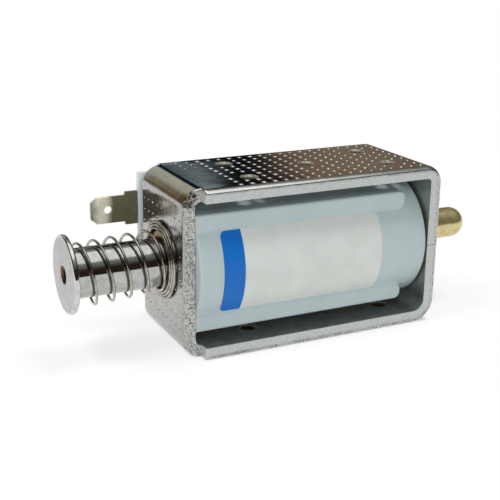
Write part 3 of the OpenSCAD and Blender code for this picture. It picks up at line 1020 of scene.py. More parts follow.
    def zones(self, torn: bool, flat: bool, hollow: bool) -> list[Zone]:
        """The zone of the face after each point of a section.

        Args:
            torn: Whether this is at the plunger end.
            flat: Whether it is on the end plate there, and not on its bends.
            hollow: Whether the punch has torn a hollow there, whose faces then take painted shade.

        Returns:
            One zone for each point.
        """
        rises = len(self.rise)
        edge = [Zone.TORN if torn else Zone.SHEARED] * (rises - 1) + [Zone.TORN]
        if hollow:
            edge = [Zone.TORN] * self.bend_shade_rise + [Zone.HOLLOW] * (rises - self.bend_shade_rise)
        plate = Zone.WORN if torn and flat else Zone.PLATE
        rolled = [Zone.HOLLOW if hollow else plate] * (self.roll_steps + self.lip_steps)
        return [Zone.INNER] * self.across + edge + rolled + [plate] * self.across + rolled + edge[::-1]

    def strip(self) -> Shell:
        """Sweeps the section along the path and closes both ends."""
        shell = Shell()
        stations = self.stations()
        loops = [self.section(at) for at in stations]
        count = len(loops[0])
        for at, loop in zip(stations, loops):
            a = math.radians(at.angle)
            for y, n in loop:
                sink = self.strip_t - n
                shell.points.append((at.x - sink * math.cos(a), y, at.z - sink * math.sin(a)))
        # Faces of the torn hollow take painted shade, over a ragged span of normal angles.
        middle, reach = self.bend_shade_deg
        for i, (here, ahead) in enumerate(zip(stations, stations[1:])):
            torn = here.torn and ahead.torn
            flat = all(abs(at.angle - END_PLATE_DEG) < self.worn_deg for at in (here, ahead))
            ragged = Ripple(self.bend_shade_ragged_deg, 2.5, 0.0).at(here.run, 0.0, 0)
            hollow = torn and abs(here.angle + ragged - middle) < reach
            for k, zone in enumerate(self.zones(torn, flat, hollow)):
                n = (k + 1) % count
                a, b = i * count, (i + 1) * count
                shell.faces.append((a + k, a + n, b + n, b + k))
                shell.marks.append(zone.value)
        last = (len(stations) - 1) * count
        for first, order in ((0, -1), (last, 1)):
            shell.faces.append(tuple(range(first, first + count))[::order])
            shell.marks.append(Zone.SHEARED.value)
        return shell

    def tapped_hole(self, x: float, y: float, z: float) -> Shell:
        """A cutter for a threaded hole through a plate whose lower face is at z."""
        top = z + self.strip_t
        mouth = self.tap_r + self.tap_chamfer
        # The cutter stands over both faces, and the first groove starts a little below the chamfer.
        over, lead, flank = 1.0, 0.1, 0.45 * self.thread_pitch
        profile = [(z - over, 0.0), (z - over, mouth), (z, mouth), (z + self.tap_chamfer, self.tap_r)]
        for k in range(int((self.strip_t - 2 * self.tap_chamfer) / self.thread_pitch)):
            low = z + self.tap_chamfer + lead + k * self.thread_pitch
            profile += [(low, self.tap_r), (low + flank, self.tap_r + self.thread_depth)]
        profile += [(top - self.tap_chamfer, self.tap_r), (top, mouth)]
        profile += [(top + over, mouth), (top + over, 0.0)]
        points, faces = revolve(profile, HOLE_SIDES)
        shell = Shell()
        shell.add([(x + py, y + pz - AXIS_Z, px) for px, py, pz in points], faces)
        return shell

    def bore(self, x: float, r: float) -> Shell:
        """A cutter for a round hole through an end plate whose outer face is at x."""
        x0, x1 = x - self.strip_t - 1, x + self.strip_t + 1
        shell = Shell()
        shell.add(*revolve([(x0, 0.0), (x0, r), (x1, r), (x1, 0.0)], TURNED_SIDES))
        return shell

    def dimple(self, centre: Point3, facing: Facing, size: float) -> Shell:
        """A lens that presses one dimple into a face.

        Args:
            centre: Its middle on the face.
            facing: The side that the face looks to.
            size: Its size as a share of the full dimple.

        Returns:
            A closed lens that stands a little proud of the face.
        """
        out = Vector((facing.value[0], 0.0, facing.value[1]))
        along = Vector((-facing.value[1], 0.0, facing.value[0]))
        segments = 10
        rings = (1.25, 1.0, 0.7, 0.35)
        shell = Shell()
        points = []
        for share in rings:
            r = share * self.dimple_r * size
            rise = self.dimple_depth * size * (share**2 - 1)
            for k in range(segments):
                a = 2 * math.pi * k / segments
                offset = along * r * math.cos(a) + Vector((0, r * math.sin(a), 0)) + out * rise
                points.append(tuple(Vector(centre) + offset))
        points.append(tuple(Vector(centre) - out * self.dimple_depth * size))
        faces = [tuple(range(segments))]
        for i in range(len(rings) - 1):
            for k in range(segments):
                n = (k + 1) % segments
                a, b = i * segments, (i + 1) * segments
                faces.append((a + k, b + k, b + n, a + n))
        last = (len(rings) - 1) * segments
        faces += [(last + k, len(points) - 1, last + (k + 1) % segments) for k in range(segments)]
        shell.add(points, faces)
        return shell

    def plate_dimples(self) -> list[Shell]:
        """The lattice of the long plates, which leaves out their bends, their edges and the holes."""
        base, top = FRAME_BOX.lo[2], FRAME_BOX.hi[2]
        start_x, bare_y = X_ENTRY + self.bend_entry + 2.0, 4.0
        end_top, end_base = X_POLE - self.bend_top + 0.6, X_POLE - self.bend_base - 0.6
        clear = self.tap_r + self.tap_chamfer + self.dimple_r * 1.4
        wander, bare_size, base_size = 0.1, 0.55, 0.9
        shells = []
        # Each dimple strays a little from the lattice, and is pressed a little deeper or less deep.
        for i, j in np.ndindex(*self.dimple_count):
            wobble = noise.noise_vector(Vector((i * 1.7, j * 2.3, 0.5)))
            x = self.dimple_start[0] + i * self.dimple_pitch[0] + wobble.x * wander
            y = self.dimple_start[1] + j * self.dimple_pitch[1] + wobble.y * wander
            size = 0.92 + 0.3 * wobble.z
            bare = x < X_ENTRY + self.bare_l
            if not start_x < x < end_top or abs(y) > self.dimple_y or (bare and y < bare_y):
                continue
            if min(math.hypot(x - hx, y - hy) for hx, hy in self.hole_centres()) < clear:
                continue
            size *= bare_size if bare else 1.0
            shells.append(self.dimple((x, y, top), Facing.TOP, size))
            if x < end_base:
                shells.append(self.dimple((x, y, base), Facing.BASE, size * base_size))
        return shells

    def end_dimples(self) -> list[Shell]:
        """The fainter lattice of the end plates, which leaves out the tube, the pole piece and the seam."""
        lip_clear, pole_clear, seam_clear, entry_y, wander = 7.8, 6.2, 0.7, 11.0, 0.15
        rows, columns = self.end_count
        shells = []
        for i, j in np.ndindex(rows, columns):
            wobble = noise.noise_vector(Vector((i * 1.3, j * 2.9, 9.5)))
            y = (j - (columns - 1) / 2) * self.dimple_pitch[1] + wobble.y * wander
            z = AXIS_Z + (i - (rows - 1) / 2) * self.dimple_pitch[0] + wobble.x * wander
            out = math.hypot(y, z - AXIS_Z)
            if out > lip_clear and abs(y) < entry_y:
                shells.append(self.dimple((X_ENTRY, y, z), Facing.ENTRY, 0.5 + 0.25 * wobble.z))
            if out > pole_clear and abs(z - AXIS_Z) > seam_clear:
                shells.append(self.dimple((X_POLE, y, z), Facing.REAR, 0.75 + 0.2 * wobble.z))
        return shells

    def hole_centres(self) -> list[Point2]:
        """X and Y of the four holes that both long plates have, then of the upper plate's middle hole."""
        along, across = self.hole_pitch
        corners = [(sx * along / 2, sy * across / 2) for sx in (-1, 1) for sy in (-1, 1)]
        return [*corners, (0.0, 0.0)]

    def build(self) -> bpy.types.Object:
        """Makes the dressed frame."""
        piece = place("box_frame_strip", self.strip())
        base, plate_z = FRAME_BOX.lo[2], FRAME_BOX.hi[2] - self.strip_t
        centres = self.hole_centres()
        holes = [self.tapped_hole(x, y, base) for x, y in centres[:-1]]
        holes += [self.tapped_hole(x, y, plate_z) for x, y in centres]
        holes.append(self.bore(X_ENTRY, Box.of("guide_tube").radius() - GuideTube.lip_w))
        holes.append(self.bore(X_POLE, PolePiece.spigot_r))
        cut_out(piece, holes)
        cut_out(piece, self.plate_dimples() + self.end_dimples())
        flank = self.tap_r + self.tap_chamfer
        deep = self.strip_t / 2 - self.tap_chamfer

        def in_hole(middle: Vector) -> bool:
            """Whether a face's middle is in a tapped hole."""
            return min(math.hypot(middle.x - x, middle.y - y) for x, y in centres) < flank

        def in_shaded_lower_thread(middle: Vector) -> bool:
            """Whether it is between the chamfers of one in the lower plate, where the thread takes painted
            shade.
            """
            return in_hole(middle) and abs(middle.z - base - self.strip_t / 2) < deep

        mark_faces(piece, Zone.THREAD.value, in_hole)
        # The lower plate's threads take painted shade, as their holes lie dark over the table.
        mark_faces(piece, Zone.OILED.value, in_shaded_lower_thread)
        # The torn hollow's finish is painted shade.
        finishes = {
            Zone.PLATE: NICKEL_STRIP, Zone.SHEARED: SHEARED_EDGE, Zone.WORN: NICKEL_WORN,
            Zone.TORN: TORN_EDGE, Zone.THREAD: CUT_THREAD, Zone.INNER: NICKEL_INNER,
            Zone.HOLLOW: TORN_BEND_PAINTED_SHADE, Zone.OILED: BROWN_THREAD_SHADE,
        }
        return finish_piece(
            piece, [finishes[zone] for zone in Zone], Body.HOUSING, ("frame",), crease_deg=13
        )


# ---------------------------------------------------------------------------------------------------------
# Coil
# ---------------------------------------------------------------------------------------------------------


def round_corner(a: np.ndarray, b: np.ndarray, radius: float) -> np.ndarray:
    """Joins the distances from two straight sides with a round corner.

    Args:
        a: Distances from the first side, moved in by the radius.
        b: The same from the second side.
        radius: Radius of the corner.

    Returns:
        Distances from the rounded shape, negative inside.
    """
    return np.hypot(np.maximum(a, 0), np.maximum(b, 0)) + np.minimum(np.maximum(a, b), 0) - radius


@dataclass
class CoilCover:
    """Round moulded cup over the coil, with four ribs that fill the corners of the box frame.

    Args:
        wall: Wall of the cup.
        rib_top: Height of a rib's far side above the axis.
        rib_h: Height of a rib.
        rib_face: Distance of a rib's face from the axis, across the frame.
        rib_short: Length by which a rib stops short of the rear end.
        rib_end: Rounding of a rib's rear corners.
        rib_round: Rounding along a rib's edges.
        root: Blend where a rib meets the cup.
        rim: Rounding of the cup's two rims.
        rim_shares: Places of the rings round a rim, as shares of its rounding.
        rib_deg: Angles above the front between which a rib lies.
    """

    wall: float = 1.2
    rib_top: float = 13.2
    rib_h: float = 3.85
    rib_face: float = 12.0
    rib_short: float = 4.5
    rib_end: float = 1.6
    rib_round: float = 0.55
    root: float = 0.7
    rim: float = 0.45
    rim_shares: tuple[float, ...] = (0.0, 0.06, 0.2, 0.45, 1.0)
    rib_deg: Point2 = (36.0, 66.0)

    def distance(
        self, x: np.ndarray, y: np.ndarray, z: np.ndarray, r: float, x0: float, x1: float
    ) -> np.ndarray:
        """Signed distance from the cover's outer skin, with z from the axis.

        Args:
            x: Places along the plunger.
            y: Places across the frame.
            z: Heights above the axis.
            r: The cup's outer radius.
            x0: Where the cup starts.
            x1: Where the cup ends.

        Returns:
            Distances, negative inside.
        """
        near = np.minimum(np.minimum(x - x0, x1 - x), self.rim)
        drop = self.rim - np.sqrt(np.maximum(self.rim**2 - (self.rim - near) ** 2, 0))
        cup = np.hypot(y, z) - (r - drop)
        half_h = self.rib_h / 2
        middle = self.rib_top - half_h
        rib_x1 = x1 - self.rib_short
        # A rib would go on beyond the cup's open end, so that it is cut off square there.
        half_l = (rib_x1 - x0) / 2 + 5
        qx = np.abs(x - (rib_x1 - half_l)) - half_l + self.rib_end
        qz = np.abs(np.abs(z) - middle) - half_h + self.rib_end
        flat = round_corner(qx, qz, self.rib_end)
        rib = round_corner(flat + self.rib_round, np.abs(y) - self.rib_face + self.rib_round, self.rib_round)
        h = np.clip(0.5 + 0.5 * (rib - cup) / self.root, 0, 1)
        return rib * (1 - h) + cup * h - self.root * h * (1 - h)

    def build(self) -> bpy.types.Object:
        """Makes the dressed cover as rings of points that lie on the skin."""
        box = Box.of("coil_cover")
        x0, x1, r = box.lo[0], box.hi[0], box.radius()
        rib_x1 = x1 - self.rib_short
        # Rings lie close together where the skin turns fast: round the rims and the ribs' rear corners.
        rim = [self.rim * share for share in self.rim_shares]
        xs = [x0 + d for d in rim]
        xs += list(np.linspace(x0 + 2, rib_x1 - self.rib_end - 1, 8))
        xs += list(np.linspace(rib_x1 - self.rib_end - 0.8, rib_x1 + 0.7, 26))
        xs += [x1 - 3] + [x1 - d for d in reversed(rim)]
        # The points of a ring do the same where a rib stands out.
        low_deg, high_deg = self.rib_deg
        quarter = sorted({
            *np.linspace(0, low_deg, 13), *np.linspace(low_deg, high_deg, 76), *np.linspace(high_deg, 90, 9)
        })
        angles = []
        for half in (0, 180):
            angles += [half + a for a in quarter[:-1]] + [half + 180 - a for a in reversed(quarter[1:])]
        xx, aa = np.meshgrid(np.array(xs), np.radians(np.array(angles)), indexing="ij")
        # The skin's distance from the axis is closed in on from both sides, by halves.
        below, beyond, halvings = 2.0, 5.0, 26
        low, high = np.full(xx.shape, r - below), np.full(xx.shape, r + beyond)
        for _ in range(halvings):
            mid = (low + high) / 2
            inside = self.distance(xx, -mid * np.cos(aa), mid * np.sin(aa), r, x0, x1) < 0
            low, high = np.where(inside, mid, low), np.where(inside, high, mid)
        rings = [(x, list(row)) for x, row in zip(xs, (low + high) / 2)]
        bore = Box.of("guide_tube").radius() - GuideTube.lip_w
        bottom, wall_r = x0 + self.wall, r - self.wall
        for x, ring_r in ((x1, wall_r), (bottom, wall_r), (bottom, bore), (x0, bore)):
            rings.append((x, [ring_r] * len(angles)))
        shell = Shell()
        count = len(angles)
        points = [
            (x, -ring[k] * math.cos(a), AXIS_Z + ring[k] * math.sin(a))
            for x, ring in rings for k, a in enumerate(np.radians(angles))
        ]
        faces = []
        for i in range(len(rings)):
            a, b = i * count, (i + 1) % len(rings) * count
            for k in range(count):
                n = (k + 1) % count
                faces.append((a + k, b + k, b + n, a + n))
        shell.add(points, faces)
        piece = place("moulded_coil_cover", shell)
        return finish_piece(piece, [COVER_ABS], Body.HOUSING, ("coil_cover",), crease_deg=50)


# ---------------------------------------------------------------------------------------------------------
# Turned pieces
# ---------------------------------------------------------------------------------------------------------


def turned(
    name: str, profile: Sequence[Point2], round_mm: float, segments: int = TURNED_SIDES, sharp_r: float = 0.0
) -> bpy.types.Object:
    """Turns a profile about the plunger's axis into a piece with broken edges.

    Args:
        name: The piece's name.
        profile: Corner points as (x, radius).
        round_mm: Rounding of every corner.
        segments: Steps in the full turn.
        sharp_r: Corners no further out than this stay sharp.

    Returns:
        The linked object.
    """
    shell = Shell()
    shell.add(*revolve(rounded(profile, round_mm, sharp_to=sharp_r), segments))
    return place(name, shell)


def mark_faces(piece: bpy.types.Object, index: int, chosen: Callable[[Vector], bool]) -> None:
    """Gives a material index to the faces whose middle, in millimetres, is chosen."""
    for face in piece.data.polygons:
        if chosen(face.center / MM):
            face.material_index = index


@dataclass
class Plunger:
    """Polished steel core with a spigot for the disc, a threaded socket and a tapered nose.

    Args:
        spigot_r: Radius of the spigot.
        tap_r: Core radius of the thread in its end.
        tap_l: Depth of that thread.
        tap_chamfer: Depth of the chamfer at its mouth.
        thread_pitch: Pitch of that thread.
        thread_depth: Depth of its grooves.
        drill_tip: Depth of the drill's cone beyond it.
        nose_l: Length of the tapered nose.
        nose_r: Radius of the nose where it starts and where it ends.
        socket_r: Radius of the socket that holds the push rod.
        socket_l: Depth of that socket.
    """

    spigot_r: float = 2.87
    tap_r: float = 1.65
    tap_l: float = 8.0
    tap_chamfer: float = 0.45
    thread_pitch: float = 0.7
    thread_depth: float = 0.25
    drill_tip: float = 0.8
    nose_l: float = 5.0
    nose_r: Point2 = (4.85, 2.9)
    socket_r: float = 2.03
    socket_l: float = 6.0

    def build(self) -> bpy.types.Object:
        """Makes the dressed plunger."""
        box, disc = Box.of("plunger"), Box.of("plunger_disc")
        x0, x1, r = box.lo[0], box.hi[0], box.radius()
        thread = []
        for k in range(int(self.tap_l / self.thread_pitch) - 1):
            x = x0 + self.tap_l - k * self.thread_pitch
            thread += [(x, self.tap_r), (x - self.thread_pitch / 2, self.tap_r + self.thread_depth)]
        profile = [
            (x0, self.tap_r + self.tap_chamfer), (x0, self.spigot_r), (disc.hi[0], self.spigot_r),
            (disc.hi[0], r), (x1 - self.nose_l, r), (x1 - self.nose_l, self.nose_r[0]), (x1, self.nose_r[1]),
            (x1, self.socket_r), (x1 - self.socket_l, self.socket_r), (x1 - self.socket_l, 0.0),
            (x0 + self.tap_l + self.drill_tip, 0.0), *thread, (x0 + self.tap_chamfer, self.tap_r),
        ]
        piece = turned("plunger_core", profile, 0.3, 128, sharp_r=self.spigot_r)
        mouth, bottom, groove_r = x0 + 0.01, x0 + self.tap_l + 1, self.tap_r + 0.4

        def in_thread(middle: Vector) -> bool:
            """Whether a face's middle is in the threaded hole."""
            return mouth < middle.x < bottom and math.hypot(middle.y, middle.z - AXIS_Z) < groove_r

        mark_faces(piece, 1, lambda middle: middle.x < mouth)
        # The threaded end takes the same brown finish that paints shade in the frame's lower threads.
        mark_faces(piece, 2, in_thread)
        finishes = [PLUNGER_NICKEL, DISC_NICKEL, BROWN_THREAD_SHADE]
        return finish_piece(piece, finishes, Body.ARMATURE, ("plunger",))


@dataclass
class SpringDisc:
    """Stamped washer staked on the plunger's end, which holds the spring.

    Args:
        bore_r: Radius of its bore.
        rim_r: Rounding of its rim.
    """

    bore_r: float = 2.93
    rim_r: float = 0.5

    def build(self) -> bpy.types.Object:
        """Makes the dressed disc, with a rim that the stamping has rounded."""
        box = Box.of("plunger_disc")
        x0, x1, r = box.lo[0], box.hi[0], box.radius()
        profile = [(x0, self.bore_r), (x0, r), (x1, r), (x1, self.bore_r)]
        piece = turned("spring_disc", profile, self.rim_r, 160, sharp_r=self.bore_r)
        rim_from = r - self.rim_r * 0.8
        mark_faces(piece, 1, lambda middle: math.hypot(middle.y, middle.z - AXIS_Z) > rim_from)
        return finish_piece(piece, [DISC_NICKEL, DISC_RIM], Body.ARMATURE, ("plunger_disc",))


@dataclass
class GuideTube:
    """Brass tube that the plunger runs in, with a rolled lip outside the end plate.

    Args:
        wall: Its wall.
        lip_w: Width of the lip.
        lip_t: Thickness of the lip.
    """

    wall: float = 0.4
    lip_w: float = 1.0
    lip_t: float = 0.5

    def build(self) -> bpy.types.Object:
        """Makes the dressed tube."""
        box = Box.of("guide_tube")
        x0, x1, lip = box.lo[0], box.hi[0], box.radius()
        outer = lip - self.lip_w
        inner = outer - self.wall
        lip_x = x0 + self.lip_t - SEAT_GAP
        profile = [(x0, inner), (x0, lip), (lip_x, lip), (lip_x, outer), (x1, outer), (x1, inner)]
        piece = turned("brass_guide_tube", profile, 0.22)
        return finish_piece(piece, [DRAWN_BRASS], Body.HOUSING, ("guide_tube",))


@dataclass
class PolePiece:
    """Fixed steel core, staked in the rear plate, with a conical seat and a bore for the rod.

    Args:
        spigot_r: Radius of the spigot in the rear plate.
        bore_r: Radius of the rod's bore.
        seat_r: Radius at the bottom of the seat.
        seat_l: Depth of the seat.
        seat_rim: Width of the flat round the seat.
        chamfer: Chamfer at the bore's end.
        plate_t: Thickness of the plate that it is staked in.
        fit: Gap between the spigot and the plate's hole.
    """

    spigot_r: float = 4.7
    bore_r: float = 2.08
    seat_r: float = 3.2
    seat_l: float = 5.0
    seat_rim: float = 0.4
    chamfer: float = 0.3
    plate_t: float = 2.93
    fit: float = 0.02

    def build(self) -> bpy.types.Object:
        """Makes the dressed pole piece."""
        box = Box.of("pole_piece")
        x0, x1, r = box.lo[0], box.hi[0], box.radius()
        shoulder, spigot, seat = x1 - self.plate_t, self.spigot_r - self.fit, x0 + self.seat_l
        profile = [
            (seat, self.seat_r), (x0, r - self.seat_rim), (x0, r), (shoulder, r), (shoulder, spigot),
            (x1, spigot), (x1, self.bore_r + self.chamfer), (x1 - self.chamfer, self.bore_r),
            (seat, self.bore_r),
        ]
        piece = turned("staked_pole_piece", profile, 0.25)
        return finish_piece(piece, [BARE_STEEL], Body.HOUSING, ("pole_piece",))


@dataclass
class PushTip:
    """Bullet-shaped brass end that bears on the load.

    Args:
        bore_r: Radius of the bore that takes the rod.
        bore_l: Depth of that bore.
        shoulder: Chamfer at the end towards the frame.
    """

    bore_r: float = 2.03
    bore_l: float = 8.0
    shoulder: float = 0.4

    def build(self) -> bpy.types.Object:
        """Makes the dressed tip."""
        box = Box.of("push_tip")
        x0, x1, r = box.lo[0], box.hi[0], box.radius()
        dome = [
            (x1 - r + r * math.sin(math.radians(a)), r * math.cos(math.radians(a))) for a in range(0, 90, 5)
        ]
        profile = [
            (x0 + self.bore_l, 0.0), (x0 + self.bore_l, self.bore_r), (x0, self.bore_r),
            (x0, r - self.shoulder), (x0 + self.shoulder, r), *dome, (x1, 0.0),
        ]
        piece = turned("brass_push_tip", profile, 0.12)
        return finish_piece(piece, [TURNED_BRASS], Body.ARMATURE, ("push_tip",), crease_deg=35)


# ---------------------------------------------------------------------------------------------------------
# Spring, terminals and the pieces that stay as they are
# ---------------------------------------------------------------------------------------------------------


@dataclass
class ReturnSpring:
    """Open coils along the plunger that widen into a flat spiral on the end plate.

    Args:
        wire_d: Wire diameter.
        coil_r: Mean radius of the open coils.
        seat_r: Mean radius of the last coil.
        open_turns: Open turns.
        nest_turns: Nested turns.
        nest_l: Depth of the nested turns along the plunger.
        nest_growth: How soon the nested turns widen, less than 1 for soon.
        lean: Height by which the spring leans from one end to the other.
        start_deg: Place of the wire's end on the disc, from the front over the top.
        air: Gap between the wire and what it bears on.
        per_turn: Steps along each turn.
        sides: Sides of the wire.
    """

    wire_d: float = 0.62
    coil_r: float = 6.8
    seat_r: float = 9.0
    open_turns: float = 5.1
    nest_turns: float = 3.4
    nest_l: float = 0.8
    nest_growth: float = 0.95
    lean: float = 1.2
    start_deg: float = 307.0
    air: float = SEAT_GAP
    per_turn: int = 48
    sides: int = 14

    def centre_line(self) -> list[Vector]:
        """Points along the middle of the wire, from the disc to the end plate."""
        gap = self.wire_d / 2 + self.air
        x0, x2 = Box.of("plunger_disc").hi[0] + gap, X_ENTRY - gap
        x1 = x2 - self.nest_l
        slope = self.lean / (x2 - x0)
        turns = self.open_turns + self.nest_turns
        count = round(turns * self.per_turn)
        result = []
        for i in range(count + 1):
            t = turns * i / count
            nest = max(0.0, t - self.open_turns) / self.nest_turns
            x = x0 + (x1 - x0) * t / self.open_turns if nest == 0 else x1 + (x2 - x1) * nest
            r = self.coil_r + (self.seat_r - self.coil_r) * nest**self.nest_growth
            tilt = slope * min(1.0, t) * (1 - min(1.0, max(0.0, t - self.open_turns + 1)))
            a = math.radians(self.start_deg - 360 * t)
            rise = r * math.sin(a)
            z = AXIS_Z + slope * (x - (x0 + x2) / 2) + rise
            result.append(Vector((x - tilt * rise, -r * math.cos(a), z)))
        return result

    def build(self) -> bpy.types.Object:
        """Makes the dressed spring."""
        sides = self.sides
        line = self.centre_line()
        shell = Shell()
        points = []
        for i, here in enumerate(line):
            ahead = (line[min(i + 1, len(line) - 1)] - line[max(i - 1, 0)]).normalized()
            out = Vector((0, here.y, here.z - AXIS_Z))
            out = (out - ahead * out.dot(ahead)).normalized()
            across = ahead.cross(out)
            for k in range(sides):
                a = 2 * math.pi * k / sides
                points.append(tuple(here + (out * math.cos(a) + across * math.sin(a)) * self.wire_d / 2))
        last = (len(line) - 1) * sides
        faces = [
            (a + k, a + (k + 1) % sides, a + sides + (k + 1) % sides, a + sides + k)
            for a in range(0, last, sides) for k in range(sides)
        ]
        faces += [tuple(range(sides))[::-1], tuple(range(last, last + sides))]
        shell.add(points, faces)
        piece = place("return_spring_wire", shell)
        finish_piece(piece, [SPRING_STEEL], Body.HOUSING, ("return_spring",), crease_deg=50)
        rest = X_ENTRY - Box.of("plunger_disc").hi[0]
        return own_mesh(piece)


@dataclass
class Blade:
    """Flat push-on blade: bevelled tip, locating hole, shoulders and a tail held in the block.

    Args:
        node: The CAD node.
        width: Width of the blade.
        shoulder_w: Width over the shoulders.
        shoulder_l: Length of the shoulders outside the block.
        tail_w: Width of the tail.
        tail_l: Length of the tail.
        bevel: Length of the bevels at the tip.
        bevel_w: Width of each bevel, as a share of its length.
        corner_r: Rounding of the outline's corners.
        edge_r: Rounding of its edges.
        hole_r: Radius of the hole.
        rub_l: Distance from the tip to the middle of the patch that a receptacle has rubbed bright.
    """

    node: str
    width: float = 6.2
    shoulder_w: float = 7.8
    shoulder_l: float = 3.1
    tail_w: float = 4.0
    tail_l: float = 7.0
    bevel: float = 1.4
    bevel_w: float = 0.85
    corner_r: float = 0.3
    edge_r: float = 0.11
    hole_r: float = 0.95
    rub_l: float = 2.6

    def build(self) -> bpy.types.Object:
        """Makes the dressed blade, with edges rounded by the blanking die and by tumbling."""
        box = Box.of(self.node)
        z = (box.lo[2] + box.hi[2]) / 2
        x0 = box.lo[0]
        root = box.hi[0] - self.tail_l
        neck = root - self.shoulder_l
        blade_h, shoulder_h, tail_h = self.width / 2, self.shoulder_w / 2, self.tail_w / 2
        half = [
            (x0, blade_h - self.bevel * self.bevel_w), (x0 + self.bevel, blade_h), (neck, blade_h),
            (neck, shoulder_h), (root - SEAT_GAP, shoulder_h), (root - SEAT_GAP, tail_h), (box.hi[0], tail_h),
        ]
        outline = rounded(half + [(x, -h) for x, h in reversed(half)], self.corner_r, 3)
        blade = prism([(x, z + h) for x, h in outline], box.lo[1], box.hi[1])
        piece = place(self.node + "_blade", blade)
        middle, over = (x0 + neck) / 2, 1.0
        turns = [2 * math.pi * k / HOLE_SIDES for k in range(HOLE_SIDES)]
        ring = [(middle + self.hole_r * math.cos(a), z + self.hole_r * math.sin(a)) for a in turns]
        cut_out(piece, [prism(ring, box.lo[1] - over, box.hi[1] + over)])
        edge = piece.modifiers.new("edges", "BEVEL")
        edge.width = self.edge_r * MM
        edge.segments = 2
        edge.limit_method = "ANGLE"
        edge.angle_limit = math.radians(50)
        # Brass strip under thin tin: pale and satin where it is rubbed, olive brown where air has reached it.
        tin = TarnishedTin(
            "tarnished_tinned_brass", "#f2eedb", "#dad6c0", metallic=0.2, roughness=0.3, spread=0.08,
            patch_mm=4.0, dark_share=0.4, grain_mm=(1.6, 0.3, 0.3), relief_mm=0.006,
            wave_mm=4.0, wave_relief_mm=0.03, bright_mm=x0 + self.rub_l,
        )
        return finish_piece(piece, [tin], Body.HOUSING, (self.node,))


@dataclass
class KeptPieces:
    """CAD nodes whose own shape is right, and which only take a finish.

    Args:
        band_l: Length of the label's band along the plunger.
    """

    band_l: float = 4.95

    def finishes(self) -> dict[str, Finish]:
        """The finish of each kept node."""
        # Satin film, wrapped tight round the cover: its gloss wavers a little with what lies below.
        film = LabelFilm(
            "printed_polyester_label", "#c2c6c2", "#bdc1bd", roughness=0.38, spread=0.06, patch_mm=7.0,
            dark_share=0.5, grain_mm=(0.5, 0.5, 0.5), relief_mm=0.004, wave_mm=8.0, wave_relief_mm=0.05,
            band="#0b60ae", band_mm=Box.of("cover_label").lo[0] + self.band_l,
        )
        return {
            "cover_label": film,
            "bobbin": BOBBIN_NYLON,
            "coil_winding": ENAMELLED_COPPER,
            "winding_tape": POLYESTER_TAPE,
            "fibre_washer": FIBRE_BOARD,
            "stop_washer": DRAWN_BRASS,
            "push_rod": TURNED_BRASS,
            "terminal_block": BLOCK_NYLON,
            "lead_wires": ENAMELLED_COPPER,
        }

    def build(self) -> None:
        """Dresses the kept nodes."""
        for name, finish in self.finishes().items():
            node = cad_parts[name]
            node.data.materials.clear()
            node.data.materials.append(finish.build())
            LOG.info("%s: kept, %s", name, finish.name)


# ---------------------------------------------------------------------------------------------------------
# Studio
# ---------------------------------------------------------------------------------------------------------


def seen(tree: bpy.types.NodeTree) -> Socket:
    """1 for rays from the camera, from a reflection or through glass, and 0 for light that scatters."""
    path = add_node(tree, "ShaderNodeLightPath")
    pair = add_node(
        tree, "ShaderNodeMath",
        {0: path.outputs["Is Camera Ray"], 1: path.outputs["Is Glossy Ray"]}, operation="MAXIMUM",
    )
    return add_node(
        tree, "ShaderNodeMath", {0: pair.outputs[0], 1: path.outputs["Is Transmission Ray"]},
        operation="MAXIMUM",
    ).outputs[0]


@dataclass
class View:
    """The camera.

    Args:
        azimuth_deg: Its heading from +Y towards +X.
        elevation_deg: How far it looks down.
        roll_deg: How far it leans.
        place_m: Where it stands, in metres.
        lens_mm: Its lens.
        sensor_mm: Width of its sensor.
    """

    azimuth_deg: float = 26.24
    elevation_deg: float = 17.96
    roll_deg: float = 0.7
    place_m: Point3 = (-0.11011, -0.19482, 0.0893)
    lens_mm: float = 71.04
    sensor_mm: float = 36.0

    def build(self) -> None:
        """Sets the camera up."""
        az, el, roll = (math.radians(v) for v in (self.azimuth_deg, self.elevation_deg, self.roll_deg))
        ahead = Vector((math.sin(az) * math.cos(el), math.cos(az) * math.cos(el), -math.sin(el)))
        right = Vector((math.cos(az), -math.sin(az), 0))
        up = right.cross(ahead)
        tilted = right * math.cos(roll) + up * math.sin(roll)
        upright = up * math.cos(roll) - right * math.sin(roll)
        data = bpy.data.cameras.new("camera")
        data.lens = self.lens_mm
        data.sensor_width = self.sensor_mm
        data.clip_start = 0.01
        camera = bpy.data.objects.new("camera", data)
        turn = Matrix((tilted, upright, -ahead)).transposed().to_4x4()
        camera.matrix_world = Matrix.Translation(self.place_m) @ turn
        bpy.context.scene.collection.objects.link(camera)
        bpy.context.scene.camera = camera


